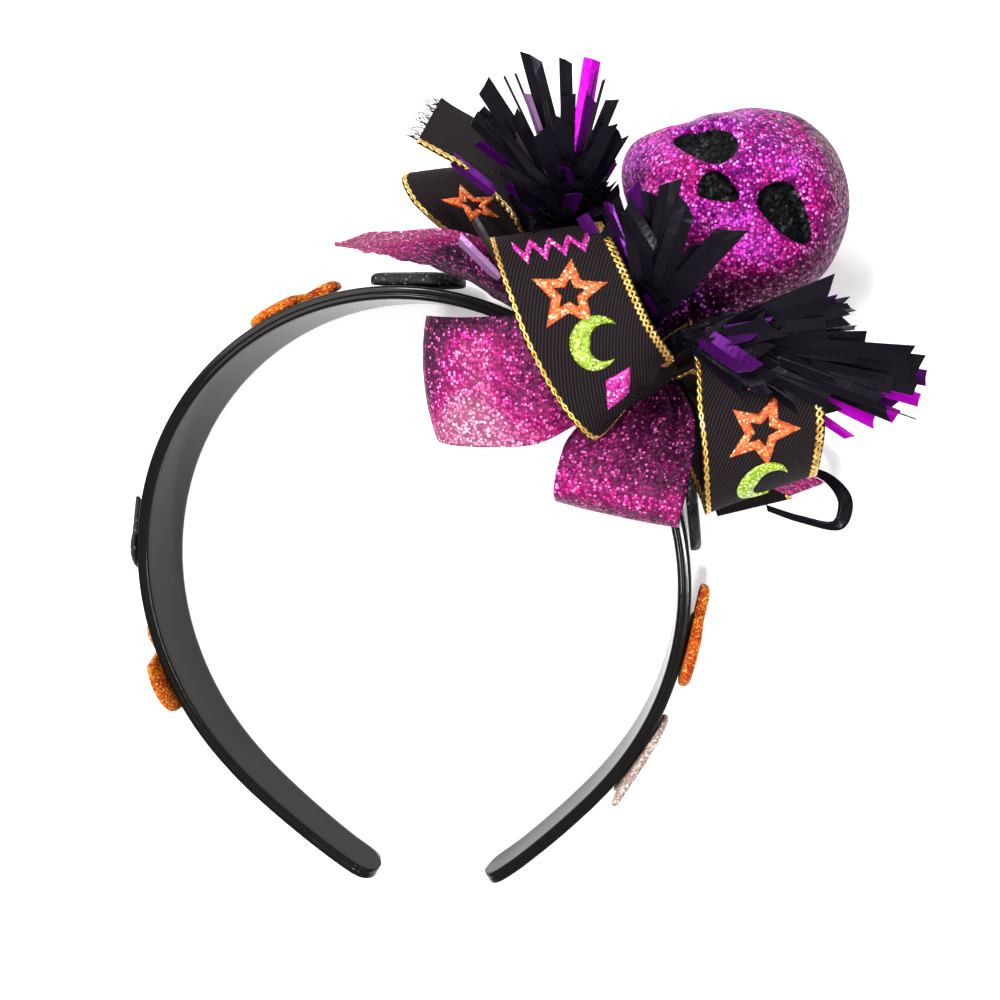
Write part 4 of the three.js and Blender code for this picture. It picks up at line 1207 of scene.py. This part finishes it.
def strip(skin, root, aim, rise, length, width, twist, tone, bend, notch):
    """A foil strip: its middle leaves along the aim and bends down evenly, and its width turns by the twist.

    The end is cut on a slant, the slant a share of the width.
    """
    share = np.linspace(0, 1, STRIP_STATIONS)
    ahead = toward(aim, rise)
    level = np.array([-np.sin(np.radians(aim)), np.cos(np.radians(aim)), 0.0])
    above = np.cross(ahead, level)
    middle = root + length * share[:, None] * ahead + (bend * length * (share - share**2))[:, None] * above
    roll = np.radians(twist) * (0.3 + share)
    side = np.cos(roll)[:, None] * level + np.sin(roll)[:, None] * above
    face = np.cross(side, ahead)
    half = width / 2 * np.where(share < 0.15, 0.6 + share * 2.6, 1.0)[:, None]
    across = np.array([-1.0, 0.0, 1.0])
    points = tube(middle, side, face, half * across, STRIP_CUP * width * np.array([0.0, 1.0, 0.0]))
    points[-1] += notch * width * np.array([1.0, -0.1, -0.8])[:, None] * ahead
    wall = STRIP_THICKNESS / 2
    front, back = points + wall * face[:, None, :], points - wall * face[:, None, :]
    ring = np.concatenate([front, back[:, ::-1]], axis=1)
    place = np.concatenate([across, across[::-1]]) * width / 2 + root[0]
    chart = np.stack(np.broadcast_arrays((share * length)[:, None], place), -1)
    skin.add(ring, wrap=True, cap=True, chart=chart, tone=tone)


def tuft(name, seed):
    """A tuft: a twisted stem, the strips of the table, and filler strips spread by chance over the fan."""
    start, stem, aim, fan, rise, lift, count, length, mass, mass_fan, mass_length, steep = TUFTS[name]
    places = np.vstack([in_knot(start), in_bow(stem)])
    share = np.linspace(0.15, 1, 40)
    line = smooth(places, share)
    tangent = heading_of(places, share)
    side = unit(np.cross(tangent, [0.3, 0.2, 1.0]))
    angle = np.linspace(0, 2 * np.pi, 18, endpoint=False)
    radius = STEM_RADIUS + STEM_LOBES * np.cos(3 * angle + share[:, None] * STEM_TURN)
    skin = Skin()
    ring = tube(line, side, np.cross(tangent, side), radius * np.cos(angle), radius * np.sin(angle))
    skin.add(ring, wrap=True, cap=True, tone=0.0)
    random = np.random.default_rng(seed)
    for strip_aim, strip_rise, strip_length, width, twist, tone in TINSEL_STRIPS[name]:
        root = places[-1] + random.normal(0, 0.5 * MM, 3)
        notch, bend = random.uniform(-0.5, 0.5), random.uniform(-0.05, 0.12)
        strip(skin, root, strip_aim, strip_rise, strip_length * MM, width * MM, twist, tone, bend, notch)
    for owner, foot, strip_aim, strip_rise, strip_length, width, twist, tone in LOOSE_STRIPS:
        if owner == name:
            root = in_bow(foot)
            strip(skin, root, strip_aim, strip_rise, strip_length * MM, width * MM, twist, tone, 0.08, 0.3)
    back = line[-14:]
    for _ in range(count):
        foot = back[random.integers(len(back))] + random.normal(0, 0.5 * MM, 3)
        tone = random.choice([0.0] * 12 + [0.25, 0.5])
        strip(
            skin, foot,
            aim + fan * random.uniform(-0.5, 0.5), rise + lift * random.uniform(-0.5, 0.5),
            length * MM * random.uniform(0.6, 1.05), random.uniform(1.4, 3.4) * MM,
            random.uniform(-60, 60), tone, random.uniform(-0.1, 0.2), random.uniform(-0.7, 0.7),
        )
    for _ in range(mass):
        foot = back[random.integers(len(back))] + random.normal(0, 0.6 * MM, 3)
        strip(
            skin, foot,
            aim + mass_fan * random.uniform(-0.5, 0.5), random.uniform(5, steep),
            mass_length * MM * random.uniform(0.6, 1.0), random.uniform(2.2, 4.2) * MM,
            random.uniform(-50, 50), random.choice([0.0] * 15 + [0.5]), random.uniform(-0.3, 0.3),
            random.uniform(-0.7, 0.7),
        )
    return skin


def skull_turn():
    """The rotation that lays the skull on the back of its head, jaw to the knot."""
    turn = np.radians(-SKULL_TURN)
    up = np.radians(SKULL_UP - 90)
    about_y = np.array([[np.cos(turn), 0, np.sin(turn)], [0, 1, 0], [-np.sin(turn), 0, np.cos(turn)]])
    about_z = np.array([[np.cos(up), -np.sin(up), 0], [np.sin(up), np.cos(up), 0], [0, 0, 1]])
    return about_z @ about_y


def skull_field(points):
    """Below 0 inside the skull: a soft least of its lobes' distances, in cranium radii."""
    total = 0
    for right, up, front, wide, tall, deep in SKULL_LOBES:
        size = np.array([wide, tall, deep])
        scaled_length = np.linalg.norm((points - np.array([right, up, front])) / size, axis=-1)
        total = total + np.exp(-LOBE_SHARPNESS * (scaled_length - 1) * size.min())
    return -np.log(total) / LOBE_SHARPNESS


def socket_share(right, up, front):
    """How far a point lies inside a socket, 0 to 1: a soft step on a slanted egg-shaped distance."""
    best = np.zeros_like(right)
    for middle_right, middle_up, wide, tall, slant, pinch in SKULL_SOCKETS:
        cosine, sine = np.cos(np.radians(slant)), np.sin(np.radians(slant))
        x = ((right - middle_right) * cosine + (up - middle_up) * sine) / wide
        narrowed = tall * (1 + pinch * np.clip(x, -1, 1))
        y = (-(right - middle_right) * sine + (up - middle_up) * cosine) / narrowed
        distance = (np.abs(x) ** SOCKET_POWER + np.abs(y) ** SOCKET_POWER) ** (1 / SOCKET_POWER)
        best = np.maximum(best, 1 / (1 + np.exp((distance - 1) * SOCKET_SHARPNESS)))
    return best * (front > 0)


def skull_surface(bow):
    """The skull as a distance for each direction from a point in its face.

    The distance is found by halving the stretch in which the field changes sign. Sockets then pull the
    surface in, and a brow, nose bridge and cheeks push it out. Returns points, socket shares and the painted
    shade: painted light on the cheek and brow, painted shade on the flank and under the jaw.
    """
    heart = np.array([0.0, -0.3, 0.0])
    theta = np.radians(np.linspace(0.5, 179.5, 150))[:, None]
    phi = np.linspace(0, 2 * np.pi, 280, endpoint=False)[None, :]
    around = np.sin(theta)
    way = np.stack([around * np.cos(phi), np.cos(theta) * np.ones_like(phi), around * np.sin(phi)], -1)
    near, far = np.zeros(way.shape[:2]), np.full(way.shape[:2], 2.4)
    for _ in range(24):
        half = (near + far) / 2
        inside = skull_field(heart + half[..., None] * way) < 0
        near, far = np.where(inside, half, near), np.where(inside, far, half)
    points = heart + near[..., None] * way
    right, up, front = np.moveaxis(points, -1, 0)
    socket = socket_share(right, up, front)
    ridge = 0.05 * np.exp(-(((up - 0.42) / 0.12) ** 2) - ((np.abs(right) - 0.45) / 0.35) ** 2) * (front > 0)
    bridge = 0.04 * np.exp(-(((right - 0.03) / 0.1) ** 2) - ((up - 0.12) / 0.2) ** 2) * (front > 0)
    lumps = 0.008 * np.sin(right * 9 + up * 5) * np.sin(up * 8 - front * 6)
    change = ridge + bridge + lumps - socket * bow.socket_depth / bow.cranium
    points = points + change[..., None] * way
    # Painted light and shade: the flank darker, the cheek and brow lighter, the jaw in deep painted shade.
    flank = np.clip((0.62 - front) / 0.15, 0, 1) * np.clip((right + 0.6 * up - 0.1) / 0.25, 0, 1)
    cheek = np.exp(-(((right + 0.75) / 0.35) ** 2) - ((up + 0.25) / 0.4) ** 2)
    brow = np.exp(-(((right - 0.35) / 0.3) ** 2) - ((up + 0.42) / 0.22) ** 2)
    dusk = np.maximum(0.12 + 0.43 * flank - 0.15 * (cheek + brow), np.clip((-up - 0.5) * 1.9, 0, 1))
    return points, socket, dusk


def put_stage(scene):
    """The pale floor, soft lights and the camera at the photo's angle."""
    mesh = bpy.data.meshes.new("floor")
    corners = [(FLOOR_HALF * x, FLOOR_HALF * y, 0) for x, y in ((-1, -1), (1, -1), (1, 1), (-1, 1))]
    mesh.from_pydata(corners, [], [(0, 1, 2, 3)])
    floor = bpy.data.objects.new("floor", mesh)
    scene.collection.objects.link(floor)
    floor.data.materials.append(
        Nodes("pale_floor").finish(
            Base_Color=(0.93, 0.93, 0.93), Roughness=0.9, Specular_IOR_Level=0.1,
            Emission_Color=(1, 1, 1), Emission_Strength=0.3,
        )
    )

    world = bpy.data.worlds.new("studio")
    world.use_nodes = True
    sky = world.node_tree.nodes["Background"].inputs
    sky["Color"].default_value = (1, 1, 1, 1)
    sky["Strength"].default_value = 0.5
    scene.world = world

    for name, place, wide, long, power in LIGHTS:
        data = bpy.data.lights.new(name, "AREA")
        data.shape = "RECTANGLE"
        data.size, data.size_y = wide, long
        data.energy = power
        lamp = bpy.data.objects.new(name, data)
        lamp.location = place
        lamp.rotation_euler = (-Vector(place)).to_track_quat("-Z", "Y").to_euler()
        scene.collection.objects.link(lamp)

    data = bpy.data.cameras.new("photo_camera")
    data.lens = CAMERA_LENS
    data.sensor_width = SENSOR
    data.clip_start = 0.01
    camera = bpy.data.objects.new("photo_camera", data)
    camera.matrix_world = Matrix.Translation(CAMERA_PLACE) @ Matrix(CAMERA_TURN).to_4x4()
    scene.collection.objects.link(camera)
    scene.camera = camera
    scene.view_settings.view_transform = "Standard"


class HEADBAND_OT_stage(bpy.types.Operator):
    """Add the floor, the lights and the camera"""

    bl_idname = "headband.stage"
    bl_label = "Stage"

    def execute(self, context):
        put_stage(context.scene)
        return {"FINISHED"}


class HEADBAND_OT_band(bpy.types.Operator):
    """Add the glossy plastic arch"""

    bl_idname = "headband.band"
    bl_label = "Band"

    def execute(self, context):
        skin = Skin()
        skin.add(band_surface(context.scene.headband_sizes), wrap=True, cap=True)
        skin.build("band_arch", Finishes.get("plastic"), "band", "band")
        return {"FINISHED"}


class HEADBAND_OT_stickers(bpy.types.Operator):
    """Add the seven puffy stickers"""

    bl_idname = "headband.stickers"
    bl_label = "Stickers"

    def execute(self, context):
        sizes = context.scene.headband_sizes
        for name, kind, at, tilt, thick, finish in STICKERS:
            skin = Skin()
            skin.add(sticker_surface(sizes, kind, at, tilt, thick), wrap=True, cap=True)
            skin.build(f"puffy_{name}", Finishes.get(finish), f"sticker_{finish}", name)
        return {"FINISHED"}


class HEADBAND_OT_knot(bpy.types.Operator):
    """Add the knot that the bow is tied on"""

    bl_idname = "headband.knot"
    bl_label = "Knot"

    def execute(self, context):
        foot, middle = knot_foot()
        height = np.linspace(0, 1, 60)[:, None]
        angle = np.linspace(0, 2 * np.pi, 72, endpoint=False)[None, :]
        squeeze = 0.86 + 0.1 * np.sin(np.pi * height) ** 0.5
        wraps = 1 - 0.05 * np.abs(np.sin(height * 9 + np.sin(angle) * 1.5))
        out, along = (
            half * squeeze * wraps * np.sign(turn) * np.abs(turn) ** WRAP_POWER
            for half, turn in ((WRAP_OUT, np.cos(angle)), (WRAP_ALONG, np.sin(angle)))
        )
        tall = KNOT_HIGH.z - KNOT_LOW.z
        up = KNOT_LOW.z + WRAP_GAP + height * (tall - 2 * WRAP_GAP)
        points = (
            middle + out[..., None] * foot["normal"] + along[..., None] * foot["tangent"]
            + up[..., None] * np.array([0, 0, 1.0])
        )
        chart = np.stack(np.broadcast_arrays(height * tall, angle * 5 * MM), -1)
        skin = Skin()
        skin.add(points, wrap=True, cap=True, chart=chart)
        skin.build("knot_wrap", Finishes.get("twill"), "knot", "bow_knot")
        return {"FINISHED"}


class HEADBAND_OT_glitter_ribbons(bpy.types.Operator):
    """Add the loops and tails of the glitter ribbon"""

    bl_idname = "headband.glitter_ribbons"
    bl_label = "Glitter ribbons"

    def execute(self, context):
        bow = context.scene.bow_sizes
        for index, (name, (start, end, rows)) in enumerate(GLITTER_RIBBONS.items()):
            pleats = 1 if end is None else 3
            belly = BELLIES.get(name, 0.0) * MM
            ribbon = Ribbon(bow.glitter_width, rows, start, end, pleats, index * 1.1, belly)
            torn = 0.75 if name == "glitter_tail_left" else 0
            points, chart, share, over = ribbon.sheet(columns=41, torn=torn)
            skin = Skin()
            # The shade kept on the mesh is painted light and shade, and pale where the glitter is thin.
            skin.add(points, chart=chart, shade=painted_light_and_thin_glitter(name, share, over))
            piece = skin.build(f"{name}_cloth", Finishes.get("glitter"), "glitter_ribbon", name)
            solidify(piece, bow.ribbon_thickness)
        return {"FINISHED"}


class HEADBAND_OT_print_ribbons(bpy.types.Operator):
    """Add the printed ribbon with its gold braid and glitter motifs"""

    bl_idname = "headband.print_ribbons"
    bl_label = "Printed ribbons"

    def execute(self, context):
        bow = context.scene.bow_sizes
        for index, (name, (start, end, rows)) in enumerate(PRINT_RIBBONS.items()):
            pleats = 1 if end is None else 3
            ribbon = Ribbon(bow.print_width, rows, start, end, pleats, 0.7 + index * 1.3)
            points, chart, _, _ = ribbon.sheet(rows=200)
            skin = Skin()
            skin.add(points, chart=chart)
            piece = skin.build(f"{name}_cloth", Finishes.get("twill"), "print_ribbon", name)
            solidify(piece, bow.ribbon_thickness)
            edges = Skin()
            for side, wide in BRAIDS.get(name, ((-1, 0.6), (1, 1.0))):
                swing, wire = bow.braid_swing * wide, bow.braid_wire * (0.4 + 0.6 * wide)
                braid(edges, ribbon, side, swing, wire, bow.braid_pitch)
            trims = [edges.build(f"{name}_braid", Finishes.get("gold"), "print_ribbon")]
            if name in MOTIFS:
                marks = Skin()
                facing = 1 if name == "print_loop_upper" else -1
                for row in MOTIFS[name]:
                    motif(marks, ribbon, facing, *row)
                trims.append(marks.build(f"{name}_motifs", Finishes.get("motif"), "print_ribbon"))
            if name == "print_tail_upper":
                threads = Skin()
                fray(threads, ribbon, index)
                trims.append(threads.build(f"{name}_threads", Finishes.get("twill"), "print_ribbon"))
        return {"FINISHED"}


class HEADBAND_OT_curl_strip(bpy.types.Operator):
    """Add the narrow black strip that curls out at the lower right"""

    bl_idname = "headband.curl_strip"
    bl_label = "Curl strip"

    def execute(self, context):
        ribbon = Ribbon(context.scene.bow_sizes.curl_width, CURL_ROWS)
        share = np.linspace(0, 1, 120)[:, None]
        over = np.linspace(-1, 1, 5)[None, :]
        points, normal, _ = ribbon.at(share, over * (0.45 + 0.5 * np.exp(-(((share - 0.55) / 0.22) ** 2))))
        wall = STRIP_THICKNESS
        ring = np.concatenate([points + wall * normal, (points - wall * normal)[:, ::-1]], axis=1)
        across = np.concatenate([over[0], over[0, ::-1]]) * ribbon.width / 2
        chart = np.stack(np.broadcast_arrays(share * ribbon.length, across), -1)
        skin = Skin()
        skin.add(ring, wrap=True, cap=True, chart=chart, tone=0.0)
        skin.build("curl_foil", Finishes.get("foil"), "foil", "curl_strip")
        return {"FINISHED"}


class HEADBAND_OT_tinsel(bpy.types.Operator):
    """Add the tufts of foil tinsel"""

    bl_idname = "headband.tinsel"
    bl_label = "Tinsel"

    def execute(self, context):
        for seed, name in enumerate(TUFTS):
            skin = tuft(name, seed + TUFT_SEED)
            skin.build(f"{name}_strips", Finishes.get("foil"), "foil", name, rounded=False)
        return {"FINISHED"}


class HEADBAND_OT_skull(bpy.types.Operator):
    """Add the glitter skull"""

    bl_idname = "headband.skull"
    bl_label = "Skull"

    def execute(self, context):
        bow = context.scene.bow_sizes
        points, socket, dusk = skull_surface(bow)
        away = (KNOT_DEPTH / 2 + SKULL_REACH * bow.cranium) * toward(SKULL_AWAY, 0)
        place = knot_foot()[1] + away + np.array([0, 0, SKULL_LIFT + bow.cranium])
        skin = Skin()
        skin.add(place + bow.cranium * points @ skull_turn().T, wrap=True, cap=True, socket=socket, dusk=dusk)
        skin.build("glitter_skull", Finishes.get("skull"), "skull", "skull")
        return {"FINISHED"}


OPERATORS = (
    HEADBAND_OT_stage,
    HEADBAND_OT_band,
    HEADBAND_OT_stickers,
    HEADBAND_OT_knot,
    HEADBAND_OT_glitter_ribbons,
    HEADBAND_OT_print_ribbons,
    HEADBAND_OT_curl_strip,
    HEADBAND_OT_tinsel,
    HEADBAND_OT_skull,
)


class HEADBAND_PT_pieces(bpy.types.Panel):
    """Lists the pieces of the headband"""

    bl_idname = "HEADBAND_PT_pieces"
    bl_label = "Headband"
    bl_space_type = "VIEW_3D"
    bl_region_type = "UI"
    bl_category = "Headband"

    def draw(self, context):
        for operator in OPERATORS:
            self.layout.operator(operator.bl_idname)
        for group in (context.scene.headband_sizes, context.scene.bow_sizes, context.scene.headband_colours):
            for key in group.__annotations__:
                self.layout.prop(group, key)


CLASSES = (HeadbandSizes, BowSizes, FinishColours, *OPERATORS, HEADBAND_PT_pieces)


def register():
    """Registers the classes and hangs the property groups on the scene."""
    for item in CLASSES:
        bpy.utils.register_class(item)
    bpy.types.Scene.headband_sizes = PointerProperty(type=HeadbandSizes)
    bpy.types.Scene.bow_sizes = PointerProperty(type=BowSizes)
    bpy.types.Scene.headband_colours = PointerProperty(type=FinishColours)


def unregister():
    """Takes the property groups and classes away again."""
    del bpy.types.Scene.headband_colours
    del bpy.types.Scene.bow_sizes
    del bpy.types.Scene.headband_sizes
    for item in reversed(CLASSES):
        bpy.utils.unregister_class(item)


def main():
    """Builds every piece in order."""
    register()
    bpy.ops.headband.stage()
    bpy.ops.headband.band()
    bpy.ops.headband.stickers()
    bpy.ops.headband.knot()
    bpy.ops.headband.glitter_ribbons()
    bpy.ops.headband.print_ribbons()
    bpy.ops.headband.curl_strip()
    bpy.ops.headband.tinsel()
    bpy.ops.headband.skull()


if __name__ == "__main__":
    main()
